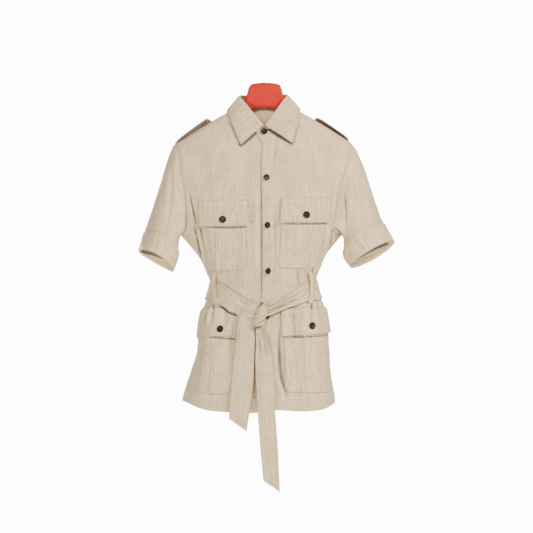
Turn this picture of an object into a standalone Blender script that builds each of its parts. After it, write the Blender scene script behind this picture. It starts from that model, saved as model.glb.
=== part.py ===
"""Short-sleeved safari jacket with a tied belt, hanging on a contoured hanger.

Sizes are millimetres here and become metres in the meshes. X runs to the viewer's right,
which is the wearer's left, the front faces -Y and Z is up. The origin is the middle of the
top of the hanger's neck. Left and right in names are the wearer's.
"""
from collections import namedtuple

import bmesh
import bpy
import numpy as np

MM = 0.001

# Cloth, seams and layers
CLOTH = 1.6              # one layer of linen with its interlining
BELT_CLOTH = 2.2         # the belt and the shoulder tabs are sewn double
SEAM_GAP = 0.3           # between neighbouring pieces
SHARP_ANGLE = 40         # degrees, above which an edge is shaded sharp

# Body of the jacket: each row is a level section, half widths from the middle line
Section = namedtuple("Section", "height left right front back square")
BODY = (
    Section(-800, 203, 171, 113, 109, 2.3),
    Section(-763, 199, 168, 111, 107, 2.3),
    Section(-695, 178, 158, 105, 101, 2.3),
    Section(-640, 163, 154.5, 99, 96, 2.3),
    Section(-600, 160.5, 152.5, 93, 91, 2.3),
    Section(-563, 155, 147, 87, 87, 2.3),
    Section(-533, 145, 140.5, 82, 83, 2.3),
    Section(-512, 137, 129.5, 78, 80, 2.3),
    Section(-484, 132.5, 124, 76, 78, 2.3),
    Section(-466, 138, 124.5, 78, 79, 2.3),
    Section(-449, 144, 132, 80, 80, 2.3),
    Section(-420, 158, 144, 83, 82, 2.35),
    Section(-392, 180, 164, 85, 83, 2.4),
    Section(-367, 201, 183, 87, 84, 2.4),
    Section(-330, 206, 191, 88, 84, 2.5),
    Section(-280, 211, 199, 86, 83, 2.7),
    Section(-220, 216, 207, 80, 79, 3.0),
    Section(-170, 220, 212, 71, 73, 3.6),
    Section(-130, 222, 214, 59, 65, 4.2),
    Section(-105, 223, 215, 48, 55, 4.6),
    Section(-85, 224, 216, 37, 43, 5.0),
    Section(-72, 224, 216, 28, 31, 5.0),
    Section(-64, 224, 216, 20, 21, 5.0),
    Section(-59.5, 224, 216, 11.5, 12, 5.0),
    Section(-57, 224, 216, 0, 0, 5.0),
)
RIDGE = -57              # height of the shoulder seams' line, before the slope
UNDERARM = -367
SHOULDER_SLOPE = 0.62
NECK_HALF = 70           # from the middle line to the neck points
NECK_EASE = 20           # rounding of the slope at the neck point
NECK_RISE = 30           # the back neck stands this much higher than a level section
NECK_RISE_HALF = 70
FRONT_NECK = -113
BACK_NECK = -89

# Bottom edge of the body
Hem = namedtuple("Hem", "x front back")
HEM = (
    Hem(-200, -766, -766),
    Hem(-145, -785, -774),
    Hem(-90, -791, -780),
    Hem(-35, -793, -785),
    Hem(28, -786, -784),
    Hem(103, -789, -780),
    Hem(150, -781, -775),
    Hem(169, -771, -771),
)

HEM_MIDDLE = -780.0      # level at which the hem's places are taken

# Largest folds: a ridge has a positive depth, a trough a negative one
Fold = namedtuple("Fold", "face x_top z_top x_low z_low width depth")
FOLDS = (
    Fold("front", 72, -520, 84, -700, 17, -6),
    Fold("front", 50, -620, 66, -760, 14, 4),
    Fold("front", 112, -545, 122, -790, 20, 3),
    Fold("front", -78, -545, -88, -700, 17, -5),
    Fold("front", -120, -540, -150, -790, 20, 3.5),
    Fold("front", 92, -380, 78, -500, 16, -4),
    Fold("front", 30, -350, 26, -500, 16, 2.5),
    Fold("front", -70, -400, -62, -500, 16, -3.5),
    Fold("front", -30, -340, -24, -500, 16, 2.5),
    Fold("front", -120, -400, -112, -500, 15, 3),
    Fold("back", -84, -400, -60, -500, 18, -5),
    Fold("back", -34, -380, -24, -500, 18, 3.5),
    Fold("back", 30, -390, 22, -500, 18, -4),
    Fold("back", 82, -370, 62, -500, 18, 4),
    Fold("back", -66, -510, -92, -800, 22, -6),
    Fold("back", -20, -515, -26, -790, 22, 4),
    Fold("back", 34, -510, 46, -800, 22, -6),
    Fold("back", 84, -520, 112, -800, 22, 5),
)

# Front edges: the wearer's left laps over the right
Edge = namedtuple("Edge", "height x")
LAP_EDGE = (
    Edge(-800, -19),
    Edge(-540, -11),
    Edge(-470, -7),
    Edge(-300, -7.5),
    Edge(-146, -9.5),
    Edge(-127, -21),
    Edge(-105, -22),
)
UNDER_EDGE_X = 20
UNDER_TUCK = -2.8        # how far the lower front lies behind the upper one
UNDER_TUCK_FROM = -62
UNDER_TUCK_TO = -32

# Armhole seams seen from the front, by the angle round the sleeve, 0 at the shoulder tip
Armhole = namedtuple("Armhole", "around x z")
ARMHOLE_VIEW_LEFT = (
    Armhole(0, -218, -146),
    Armhole(17, -209, -167),
    Armhole(48, -202, -214),
    Armhole(87, -192, -279),
    Armhole(115, -190.2, -322),
    Armhole(132, -191, -345),
    Armhole(148, -194, -358),
    Armhole(165, -197.5, -364.5),
    Armhole(180, -201, -367),
)
ARMHOLE_VIEW_RIGHT = (
    Armhole(0, 203, -136),
    Armhole(17, 205, -167),
    Armhole(48, 191, -212),
    Armhole(87, 176, -277),
    Armhole(115, 167, -322),
    Armhole(132, 161, -348),
    Armhole(148, 168, -358),
    Armhole(165, 179.5, -364.5),
    Armhole(180, 183, -367),
)

# Sleeves: the upper and under lines seen from the front, and half depths, from seam to opening
Arm = namedtuple("Arm", "along upper_x upper_z under_x under_z front back")
SLEEVE_VIEW_LEFT = (
    Arm(0.0, -218, -148, -201, -367, 58, 58),
    Arm(0.06, -223, -158, -206.5, -370, 60, 60),
    Arm(0.14, -230, -175, -208.5, -377, 62, 62),
    Arm(0.3, -243, -217, -209, -390, 64, 64),
    Arm(0.55, -264, -286, -210, -409, 65, 65),
    Arm(0.8, -286, -352, -214, -431, 65, 65),
    Arm(1.0, -303, -405, -223, -453, 66, 66),
)
SLEEVE_VIEW_RIGHT = (
    Arm(0.0, 203, -141, 183, -367, 58, 58),
    Arm(0.06, 212, -151, 188.5, -370, 60, 60),
    Arm(0.14, 222, -168, 190.5, -377, 62, 62),
    Arm(0.3, 238, -209, 191, -388, 64, 64),
    Arm(0.55, 259, -270, 191, -404, 65, 65),
    Arm(0.8, 281, -331, 193, -421, 65, 65),
    Arm(1.0, 309, -381, 205, -442, 66, 66),
)
SEAM_REACH = 0.36        # share of the sleeve over which the seam's shape fades out
UNDERARM_PUSH = 13       # fullness beside the underarm, which clears the body's side
UNDERARM_PUSH_AROUND = 143
UNDERARM_PUSH_WIDTH = 28
UNDERARM_PUSH_ALONG = 0.12
UNDERARM_CLEAR = 3.2     # wider seam gap where the sleeve folds back over the body's side
UNDERARM_CLEAR_FROM = 95
UNDERARM_CLEAR_TO = 125
CUFF_FROM_UPPER = 0.84   # where the turn-up begins, as a share of the sleeve
CUFF_FROM_UNDER = 0.56
CUFF_LOW_OUT = 2.1
CUFF_TOP_OUT = 5.0

# Collar: the fold and the free edge, from the viewer's left front round the back
Collar = namedtuple("Collar", "along fold_x fold_y fold_z edge_x edge_height face lift")
COLLAR = (
    Collar(0.00, -5, -56, -105, -57.5, -153, "front", 3.0),
    Collar(0.12, -27, -46, -79, -70, -124, "front", 3.0),
    Collar(0.24, -48, -29, -52, -82, -93, "front", 3.0),
    Collar(0.34, -63, -4, -33, -92, RIDGE, "ridge", 5.0),
    Collar(0.42, -48, 34, -31, -78, -86, "back", 6.5),
    Collar(0.50, -4, 52, -33, -4, -112, "back", 6.5),
    Collar(0.58, 40, 34, -30, 71, -86, "back", 6.5),
    Collar(0.66, 55, -4, -30, 85, RIDGE, "ridge", 5.0),
    Collar(0.76, 42, -29, -49, 79, -92, "front", 3.0),
    Collar(0.88, 23, -46, -76, 72, -122, "front", 3.0),
    Collar(1.00, 1.5, -57, -106, 65, -149, "front", 3.0),
)
COLLAR_ROLL = 3.5        # how far the leaf bulges between its fold and its edge
STAND_INSET = 2.3        # the stand's top lies this far inside the fold
STAND_LOW_INSET = 4.0
STAND_DROP = 1.2
STAND_SEAM = 1.3         # the stand starts this far above the neck edge
STAND_END = 0.02         # it stops this share short of the collar's ends

# Patch pockets and their flaps, placed by the middle of the pleat seen from the front
Pocket = namedtuple("Pocket", "name x_top z_top x_low z_low half_in half_out")
POCKETS = (
    Pocket("chest_pocket_right", -100, -300, -97, -452, 55, 55),
    Pocket("chest_pocket_left", 98, -295, 84, -448, 55, 55),
    Pocket("hip_pocket_right", -104, -556, -112, -746, 68, 68),
    Pocket("hip_pocket_left", 108, -556, 113, -744, 68, 68),
)
Flap = namedtuple("Flap", "name x_top z_top x_low z_low half_in half_out")
FLAPS = (
    Flap("chest_flap_right", -100, -284, -98, -346, 61, 61),
    Flap("chest_flap_left", 98, -279, 97, -337, 60, 60),
    Flap("hip_flap_right", -104, -542, -104, -610, 72, 76),
    Flap("hip_flap_left", 107, -540, 108, -606, 72, 76),
)
PLEAT_HALF = 18
PLEAT_STEP = 1.5         # width of the step at each side of a pleat
POCKET_IN = 2.3
POCKET_OUT = 3.9
PLEAT_OUT = 5.0
FLAP_IN = 5.7
FLAP_OUT = 7.3
FLAP_SEWN = 0.86         # above this share of its height a flap lies on the body
FLAP_BOW = 1.2           # its free edge stands this much further out

# Buttons
Button = namedtuple("Button", "name x z out")
BUTTON_RADIUS = 9
BUTTON_THICK = 3.2
BUTTON_RIM = 1.6
BUTTON_DISH = 0.8
BUTTON_SIDES = 14
BUTTON_PROFILE = (       # shares of its radius and of its thickness, from the cloth out
    (0.55, 0),
    (1, 0.35),
    (1, 0.75),
    (0.93, 1),
    (1 - BUTTON_RIM / BUTTON_RADIUS, 1 - BUTTON_DISH / BUTTON_THICK),
)
BUTTONS = (
    Button("button_front_1", -2.5, -119, 1.1),
    Button("button_front_2", 3, -230, 1.1),
    Button("button_front_3", 5, -344, 1.1),
    Button("button_front_4", 6.5, -453, 1.1),
    Button("button_front_5", 4, -562, 1.1),
    Button("button_front_6", -2, -677, 1.1),
    Button("button_chest_right", -100, -330, 8.3),
    Button("button_chest_left", 98, -319, 8.3),
    Button("button_hip_right", -104.5, -593, 8.6),
    Button("button_hip_left", 108, -586, 8.6),
)

# Belt: its middle line round the waist, from the knot over the viewer's left to the back
Belt = namedtuple("Belt", "turn z half out")
BELT = (
    Belt(-362, -556, 11, 19),
    Belt(-352, -547, 11.5, 14),
    Belt(-342, -533, 13.5, 11),
    Belt(-330, -519, 17.5, 9.6),
    Belt(-315, -506, 21, 6),
    Belt(-298, -502, 22, 4.4),
    Belt(-270, -499, 22, 4.4),
    Belt(-180, -496, 23.5, 4.4),
    Belt(-90, -503, 21, 4.4),
    Belt(-63, -501, 20.5, 4.4),
    Belt(-45, -510, 23.5, 6),
    Belt(-30, -529, 23, 9.8),
    Belt(-21, -541, 21, 12.5),
    Belt(-11, -552, 17, 19),
)
KNOT_X = -10.5
KNOT_Z = -561
KNOT_LEAN = 0.16         # sideways shift for each unit of height
KNOT_HALF_WIDE = 14
KNOT_HALF_DEEP = 14
KNOT_HALF_TALL = 29
KNOT_OUT = 21            # its middle, from the body's cloth
KNOT_WRAPS = 3
KNOT_WRAP_DEPTH = 0.07
KNOT_CLEAR = 0.7

# Belt tails, from the knot down: the two edges seen from the front
Tail = namedtuple("Tail", "along left_x left_z right_x right_z out")
TAIL_SHORT = (
    Tail(0.00, -28, -545, -26.5, -573, 22.5),
    Tail(0.06, -46, -547, -25.5, -592, 21),
    Tail(0.12, -61, -558, -25, -612, 17),
    Tail(0.24, -67, -592, -25, -640, 12.5),
    Tail(0.38, -71, -632, -26, -672, 10.2),
    Tail(0.60, -78, -696, -28, -718, 9.0),
    Tail(0.82, -83, -755, -33, -768, 8.6),
    Tail(1.00, -86.5, -806, -43.5, -836, 8.6),
)
TAIL_LONG = (
    Tail(0.00, -21, -590.4, -8, -590.4, 17.2),
    Tail(0.07, -21.5, -618, 6, -616, 14),
    Tail(0.16, -22.5, -652, 15, -650, 9.5),
    Tail(0.28, -22.5, -697, 21, -695, 8.0),
    Tail(0.52, -18, -788, 25, -788, 7.8),
    Tail(0.76, -11.5, -876, 31, -876, 7.8),
    Tail(1.00, -4.5, -953, 36, -981, 7.8),
)

# Belt loops, seen from the front
Loop = namedtuple("Loop", "name x")
LOOPS = (Loop("belt_loop_right", -116), Loop("belt_loop_left", 107))
LOOP_HALF_WIDE = 6
LOOP_TOP = -458
LOOP_LOW = -538
LOOP_IN = 1.6
LOOP_OVER = 11

# Shoulder tabs along the shoulder seam
Tab = namedtuple("Tab", "name x_tip x_end bow")
TABS = (Tab("epaulette_right", -216, -130, 13.5), Tab("epaulette_left", 201, 121, 8.5))
TAB_HALF_WIDE = 19
TAB_LIFT = 2.3
TAB_SAG = 4              # its sides hang lower than its middle line
TAB_POINT = 0.9          # from this share of its length its end narrows
TAB_DROP = 0.14          # over this last share of its length it comes down to the shoulder

# Hanger: sections across it, the same on both sides
Bar = namedtuple("Bar", "x top low half")
HANGER = (
    Bar(0, 0, -62, 11),
    Bar(14, -0.6, -62.8, 11),
    Bar(27, -2.6, -65.5, 11),
    Bar(36, -6.2, -70, 11),
    Bar(40.5, -14, -73.5, 11),
    Bar(43.5, -26, -76.5, 11),
    Bar(47, -38, -80, 11),
    Bar(54, -52, -88, 11),
    Bar(65, -73, -101, 11),
    Bar(92, -79.6, -115, 13),
    Bar(125, -98.2, -133, 15),
    Bar(160, -119.35, -151, 15.5),
    Bar(184, -135.2, -162, 14),
    Bar(194, -144, -162, 8),
)
HANGER_SIDES = 14
HANGER_SQUARE = 2.6

# Mesh densities
ROWS_BELOW = 17
ROWS_ARMHOLE = 12
NECK_COLUMNS = 5
SHOULDER_COLUMNS = 9
SLEEVE_ROWS = 8
PLEAT_SIDE_COLUMNS = 3
COLLAR_COLUMNS = 33
STAND_COLUMNS = 29
BELT_COLUMNS = 49


def smooth_at(rows, column, at):
    """A column of a table as one smooth curve over its first column."""
    keys = np.array([row[0] for row in rows], float)
    values = np.array([getattr(row, column) for row in rows], float)
    slopes = np.gradient(values, keys)
    at = np.clip(np.asarray(at, float), keys[0], keys[-1])
    low = np.clip(np.searchsorted(keys, at) - 1, 0, len(keys) - 2)
    span = keys[low + 1] - keys[low]
    part = (at - keys[low]) / span
    ease = part * part * (3 - 2 * part)
    bend = part * (1 - part) * ((1 - part) * slopes[low] - part * slopes[low + 1]) * span
    return values[low] + (values[low + 1] - values[low]) * ease + bend


def stack(x, y, z):
    """Three arrays as one array of points."""
    return np.stack(np.broadcast_arrays(x, y, z), axis=-1).astype(float)


def unit(vectors):
    """Vectors scaled to length 1."""
    lengths = np.linalg.norm(vectors, axis=-1, keepdims=True)
    return vectors / np.maximum(lengths, 1e-9)


def ease_between(value, start, end):
    """0 at start and 1 at end, with soft ends."""
    part = np.clip((value - start) / (end - start), 0, 1)
    return part * part * (3 - 2 * part)


# The body's surface

def shoulder_share(height):
    """0 at the underarm and below it, 1 at the shoulder seams."""
    return np.clip((height - UNDERARM) / (RIDGE - UNDERARM), 0, 1)


def shoulder_fall(x, front):
    """How far the cloth at x lies below its level section at the shoulder seams."""
    past = np.abs(x) - NECK_HALF
    fall = SHOULDER_SLOPE * (np.sqrt(past ** 2 + NECK_EASE ** 2) + past) / 2
    rise = NECK_RISE * np.clip(1 - (x / NECK_RISE_HALF) ** 2, 0, 1) ** 1.5
    return fall - np.where(front, 0, rise)


def level_surface(turn, height):
    """The body's cloth without folds: turn 0 is the centre front, 90 the viewer's right."""
    height = np.minimum(height, RIDGE)
    across = np.sin(np.radians(turn))
    ahead = np.cos(np.radians(turn))
    front = ahead >= 0
    square = smooth_at(BODY, "square", height)
    size = (np.abs(across) ** square + np.abs(ahead) ** square) ** (1 / square)
    left = smooth_at(BODY, "left", height)
    right = smooth_at(BODY, "right", height)
    deep = np.where(front, smooth_at(BODY, "front", height), smooth_at(BODY, "back", height))
    x = np.where(across < 0, left, right) * across / size
    y = -np.maximum(deep, 0) * ahead / size
    z = height - shoulder_share(height) * shoulder_fall(x, front)
    return stack(x, y, z)


def fold_height(points, front):
    """How far the folds lift the cloth at these points."""
    x, y, z = points[..., 0], points[..., 1], points[..., 2]
    lift = np.zeros(x.shape)
    for fold in FOLDS:
        down = np.clip((fold.z_top - z) / (fold.z_top - fold.z_low), 0, 1)
        middle = fold.x_top + (fold.x_low - fold.x_top) * down
        shape = np.exp(-((x - middle) / fold.width) ** 2) * np.sin(np.pi * down ** 0.8)
        lift += np.where(front == (fold.face == "front"), fold.depth * shape, 0)
    return lift * np.clip(np.abs(y) / 25, 0, 1)


def body(turn, height, out=0.0):
    """The body's cloth with its folds, or a layer that lies a distance out from it."""
    turn, height, out = np.broadcast_arrays(
        np.asarray(turn, float), np.asarray(height, float), np.asarray(out, float))
    points = level_surface(turn, height)
    round_it = level_surface(turn + 0.4, height) - level_surface(turn - 0.4, height)
    up_it = level_surface(turn, height + 1) - level_surface(turn, height - 1)
    normal = unit(np.cross(round_it, up_it))
    lift = out + fold_height(points, np.cos(np.radians(turn)) >= 0)
    return points + normal * lift[..., None]


def spot(x, z, front=True):
    """Turn and height of the place on the body that shows at x and z."""
    x, z = np.broadcast_arrays(np.asarray(x, float), np.asarray(z, float))
    share = shoulder_fall(x, front) / (RIDGE - UNDERARM)
    height = np.where(z > UNDERARM, (z + share * -UNDERARM) / (1 - share), z)
    height = np.minimum(height, RIDGE)
    half = np.where(x < 0, smooth_at(BODY, "left", height), smooth_at(BODY, "right", height))
    square = smooth_at(BODY, "square", height)
    reach = np.clip((np.abs(x) / half) ** square, 0, 0.99999)
    turn = np.degrees(np.arctan((reach / (1 - reach)) ** (1 / square)))
    turn = np.where(x < 0, -turn, turn)
    if not front:
        turn = np.where(x < 0, -180, 180) - turn
    return turn, height


def beside(turn, height, distance):
    """Turn of the place that lies a distance round the body, along one level."""
    steps = 8
    for _ in range(steps):
        here = level_surface(turn, height)
        ahead = level_surface(turn + 0.5, height)
        turn = turn + distance / steps * 0.5 / np.linalg.norm(ahead - here, axis=-1)
    return turn


# Walls of cloth

def make_object(name, bm, material):
    """An object of the scene from a bmesh in millimetres."""
    bmesh.ops.scale(bm, vec=(MM, MM, MM), verts=bm.verts)
    bmesh.ops.recalc_face_normals(bm, faces=bm.faces)
    mesh = bpy.data.meshes.new(name)
    bm.to_mesh(mesh)
    bm.free()
    mesh.materials.append(material)
    mesh.shade_smooth()
    mesh.set_sharp_from_angle(angle=np.radians(SHARP_ANGLE))
    thing = bpy.data.objects.new(name, mesh)
    bpy.context.collection.objects.link(thing)
    return thing


def wall(name, inner, outer, material, ring=False):
    """A closed wall between two grids of points; ring joins the last column to the first."""
    bm = bmesh.new()
    rows, columns = inner.shape[:2]
    grids = [[[bm.verts.new(point) for point in row] for row in grid] for grid in (inner, outer)]
    last = columns if ring else columns - 1
    for grid in grids:
        for row in range(rows - 1):
            for column in range(last):
                after = (column + 1) % columns
                bm.faces.new((grid[row][column], grid[row][after],
                              grid[row + 1][after], grid[row + 1][column]))
    low, high = grids
    for row in (0, rows - 1):
        for column in range(last):
            after = (column + 1) % columns
            bm.faces.new((low[row][column], low[row][after], high[row][after], high[row][column]))
    if not ring:
        for column in (0, columns - 1):
            for row in range(rows - 1):
                bm.faces.new((low[row][column], low[row + 1][column],
                              high[row + 1][column], high[row][column]))
    return make_object(name, bm, material)


def drawn_in(points, ring, edges):
    """Pull the named edges of a grid back by half the seam gap."""
    moved = points.copy()
    half = SEAM_GAP / 2
    if "low" in edges:
        moved[0] += half * unit(points[1] - points[0])
    if "top" in edges:
        moved[-1] += half * unit(points[-2] - points[-1])
    if not ring and "first" in edges:
        moved[:, 0] += half * unit(points[:, 1] - points[:, 0])
    if not ring and "last" in edges:
        moved[:, -1] += half * unit(points[:, -2] - points[:, -1])
    return moved


def grid_key(point):
    """A point's place, rounded, so that two pieces find their shared seam points."""
    return tuple(np.round(point / 0.02).astype(int))


def add_normals(total, points, sign, ring):
    """Add each cell's normal to its corners in a table by place."""
    columns = points.shape[1]
    last = columns if ring else columns - 1
    for row in range(points.shape[0] - 1):
        for column in range(last):
            after = (column + 1) % columns
            corners = ((row, column), (row, after), (row + 1, after), (row + 1, column))
            a, b, c, d = (points[corner] for corner in corners)
            normal = sign * np.cross(c - a, d - b)
            for corner in corners:
                key = grid_key(points[corner])
                total[key] = total.get(key, np.zeros(3)) + normal


def shared_normals(total, points):
    """Unit normals of a grid, from the table by place."""
    flat = [total[grid_key(point)] for point in points.reshape(-1, 3)]
    return unit(np.array(flat).reshape(points.shape))


# Panels of the body

def patch_between(low, top, first, last):
    """Fill the inside of four edges of (turn, height) points, low and top running across."""
    across = np.linspace(0, 1, low.shape[0])[None, :, None]
    up = np.linspace(0, 1, first.shape[0])[:, None, None]
    sides = first[:, None] * (1 - across) + last[:, None] * across
    ends = low[None] * (1 - up) + top[None] * up
    corners = ((low[0] * (1 - across) + low[-1] * across) * (1 - up)
               + (top[0] * (1 - across) + top[-1] * across) * up)
    return sides + ends - corners


def armhole_places(table, front):
    """Turn and height along an armhole seam, from the underarm to the shoulder tip."""
    around = np.linspace(180, 0, ROWS_ARMHOLE + 1)
    x = smooth_at(table, "x", around)
    z = smooth_at(table, "z", around)
    turn, height = spot(x, z, front)
    turn[0] = 90 * np.sign(x[0])
    height[0] = UNDERARM
    height[-1] = RIDGE
    return np.stack((turn, height), axis=-1)


def neck_height(x, front):
    """Height of the neck edge at x."""
    depth = RIDGE - (FRONT_NECK if front else BACK_NECK)
    return RIDGE - depth * np.clip(1 - (x / NECK_HALF) ** 2, 0, 1) ** 0.6


def places_at(x, height, front=True):
    """Turn and height for places given by x and height."""
    half = np.where(x < 0, smooth_at(BODY, "left", height), smooth_at(BODY, "right", height))
    square = smooth_at(BODY, "square", height)
    reach = np.clip((np.abs(x) / half) ** square, 0, 0.99999)
    turn = np.degrees(np.arctan((reach / (1 - reach)) ** (1 / square))) * np.sign(x)
    if not front:
        turn = np.where(x < 0, -180, 180) - turn
    return np.stack((turn, np.broadcast_to(height, turn.shape)), axis=-1)


def hem_height(x, front):
    """Height of the bottom edge at x."""
    return smooth_at(HEM, "front" if front else "back", x)


def lower_rows(low, high):
    """Rows of (turn, height) places from the hem up to the underarm."""
    up = np.linspace(0, 1, ROWS_BELOW + 1)[:, None, None]
    return low[None] * (1 - up) + high[None] * up


def front_places(side, edge_x):
    """Turn and height grid of a front panel, from its front edge to the side seam."""
    table = ARMHOLE_VIEW_LEFT if side < 0 else ARMHOLE_VIEW_RIGHT
    arm = armhole_places(table, True)
    columns = NECK_COLUMNS + SHOULDER_COLUMNS
    share = np.linspace(0, 1, columns + 1)
    edge_top = edge_x(FRONT_NECK)
    neck_x = edge_top + (side * NECK_HALF - edge_top) * np.sin(
        np.linspace(0, np.pi / 2, NECK_COLUMNS + 1))
    tip_x = table[0].x
    shoulder_x = np.linspace(side * NECK_HALF, tip_x, SHOULDER_COLUMNS + 1)[1:]
    top = np.concatenate((places_at(neck_x, neck_height(neck_x, True)),
                          places_at(shoulder_x, np.full(SHOULDER_COLUMNS, float(RIDGE)))))
    top[-1] = arm[-1]
    rise = np.linspace(0, 1, ROWS_ARMHOLE + 1)
    edge_heights = UNDERARM + (top[0][1] - UNDERARM) * rise
    first = places_at(edge_x(edge_heights), edge_heights)
    first[-1] = top[0]
    start = first[0][0]
    low = np.stack((start + (90 * side - start) * share, np.full(columns + 1, UNDERARM)), axis=-1)
    upper = patch_between(low, top, first, arm)
    hem_turn = low[:, 0]
    hem_x = level_surface(hem_turn, np.full(columns + 1, HEM_MIDDLE))[:, 0]
    hem = np.stack((hem_turn, hem_height(hem_x, True)), axis=-1)
    below = lower_rows(hem, low)
    lines = places_at(edge_x(below[:, 0, 1]), below[:, 0, 1])[:, 0]
    fade = (1 - share) ** 2
    below[:, :, 0] += (lines - below[:, 0, 0])[:, None] * fade[None]
    return np.concatenate((below[:-1], upper))


def back_places():
    """Turn and height grid of the back panel, from the viewer's left side seam round."""
    left_arm = armhole_places(ARMHOLE_VIEW_LEFT, False)
    right_arm = armhole_places(ARMHOLE_VIEW_RIGHT, False)
    half = NECK_COLUMNS + SHOULDER_COLUMNS
    neck_share = np.sin(np.linspace(0, np.pi / 2, NECK_COLUMNS + 1))
    parts = []
    for side, table in ((-1, ARMHOLE_VIEW_LEFT), (1, ARMHOLE_VIEW_RIGHT)):
        neck_x = side * NECK_HALF * neck_share
        neck_x[0] = side * 1e-6
        shoulder_x = np.linspace(side * NECK_HALF, table[0].x, SHOULDER_COLUMNS + 1)[1:]
        places = np.concatenate((
            places_at(neck_x, neck_height(neck_x, False), False),
            places_at(shoulder_x, np.full(SHOULDER_COLUMNS, float(RIDGE)), False)))
        parts.append(places)
    left, right = parts
    left[-1] = left_arm[-1]
    right[-1] = right_arm[-1]
    right[:, 0] -= 360
    right_arm[:, 0] -= 360
    top = np.concatenate((left[::-1], right[1:]))
    low = np.stack((np.linspace(-90, -270, 2 * half + 1), np.full(2 * half + 1, UNDERARM)), axis=-1)
    upper = patch_between(low, top, left_arm, right_arm)
    hem_x = level_surface(low[:, 0], np.full(2 * half + 1, HEM_MIDDLE))[:, 0]
    hem = np.stack((low[:, 0], hem_height(hem_x, False)), axis=-1)
    return np.concatenate((lower_rows(hem, low)[:-1], upper))


def lap_edge_x(height):
    """X of the upper front's edge."""
    return smooth_at(LAP_EDGE, "x", height)


def under_edge_x(height):
    """X of the lower front's edge, hidden behind the upper front."""
    return np.full(np.shape(height), float(UNDER_EDGE_X))


# Sleeves

def seam_points(table, around):
    """The armhole seam as points, by the angle round the sleeve."""
    around = np.asarray(around, float) % 360
    front = around <= 180
    angle = np.where(front, around, 360 - around)
    x = smooth_at(table, "x", angle)
    z = smooth_at(table, "z", angle)
    turn_front, height_front = spot(x, z, True)
    turn_back, height_back = spot(x, z, False)
    turn = np.where(front, turn_front, turn_back)
    height = np.where(front, height_front, height_back)
    height = np.where(angle < 0.01, RIDGE, height)
    turn = np.where(angle > 179.99, 90 * np.sign(x), turn)
    height = np.where(angle > 179.99, UNDERARM, height)
    return body(turn, height)


def plain_sleeve(rows, around, along, lean):
    """An elliptic tube between the sleeve's upper and under lines."""
    upper = stack(smooth_at(rows, "upper_x", along), 0, smooth_at(rows, "upper_z", along))
    under = stack(smooth_at(rows, "under_x", along), 0, smooth_at(rows, "under_z", along))
    angle = np.radians(around)
    depth = np.where(np.sin(angle) > 0, smooth_at(rows, "front", along),
                     smooth_at(rows, "back", along))
    middle = (upper + under) / 2
    arm = (upper - under) / 2
    points = middle + arm * np.cos(angle)[..., None]
    points[..., 1] -= depth * np.sin(angle)
    side = np.sign(rows[0].upper_x)
    down = unit(stack(-arm[..., 2] * side, 0, arm[..., 0] * side))
    down = np.where(down[..., 2:] > 0, -down, down)
    front_rise, back_drop = lean
    shift = np.where(np.sin(angle) > 0, -front_rise, back_drop) * np.abs(np.sin(angle))
    return points + down * (shift * np.asarray(along) ** 2)[..., None]


SleeveCut = namedtuple("SleeveCut", "rows seam lean")
SLEEVES = {
    "right": SleeveCut(SLEEVE_VIEW_LEFT, ARMHOLE_VIEW_LEFT, (17, 5)),
    "left": SleeveCut(SLEEVE_VIEW_RIGHT, ARMHOLE_VIEW_RIGHT, (11, 14)),
}


def beside_underarm(around):
    """1 beside the underarm, fading out round the sleeve."""
    turned = np.asarray(around, float) % 360
    angle = np.where(turned <= 180, turned, 360 - turned)
    return np.exp(-((angle - UNDERARM_PUSH_AROUND) / UNDERARM_PUSH_WIDTH) ** 2)


def sleeve_surface(cut, around, along):
    """A sleeve's cloth: around 0 is the shoulder line and 90 the front."""
    around, along = np.broadcast_arrays(np.asarray(around, float), np.asarray(along, float))
    tube = plain_sleeve(cut.rows, around, along, cut.lean)
    start = plain_sleeve(cut.rows, around, np.zeros(along.shape), cut.lean)
    seam = seam_points(cut.seam, around)
    fade = np.clip(1 - along / SEAM_REACH, 0, 1) ** 2
    points = tube + (seam - start) * fade[..., None]
    grown = along / UNDERARM_PUSH_ALONG * np.exp(1 - along / UNDERARM_PUSH_ALONG)
    points[..., 1] -= UNDERARM_PUSH * grown * beside_underarm(around) * np.sign(
        np.sin(np.radians(around)))
    return points


def sleeve(cut, around, along, out=0.0):
    """A layer that lies a distance out from a sleeve's cloth."""
    around, along = np.broadcast_arrays(np.asarray(around, float), np.asarray(along, float))
    points = sleeve_surface(cut, around, along)
    round_it = sleeve_surface(cut, around + 3, along) - sleeve_surface(cut, around - 3, along)
    down_it = (sleeve_surface(cut, around, np.minimum(along + 0.02, 1))
               - sleeve_surface(cut, around, np.maximum(along - 0.02, 0)))
    side = np.sign(cut.rows[0].upper_x)
    normal = unit(np.cross(round_it, down_it)) * side
    return points + normal * np.asarray(out)[..., None]


def sleeve_grid(cut):
    """The sleeve's points, a row for each ring from the seam to the opening."""
    around = np.arange(0, 360, 180 / ROWS_ARMHOLE)[None, :]
    along = np.linspace(0, 1, SLEEVE_ROWS + 1)[:, None] ** 1.3
    return sleeve_surface(cut, around, along)


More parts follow.
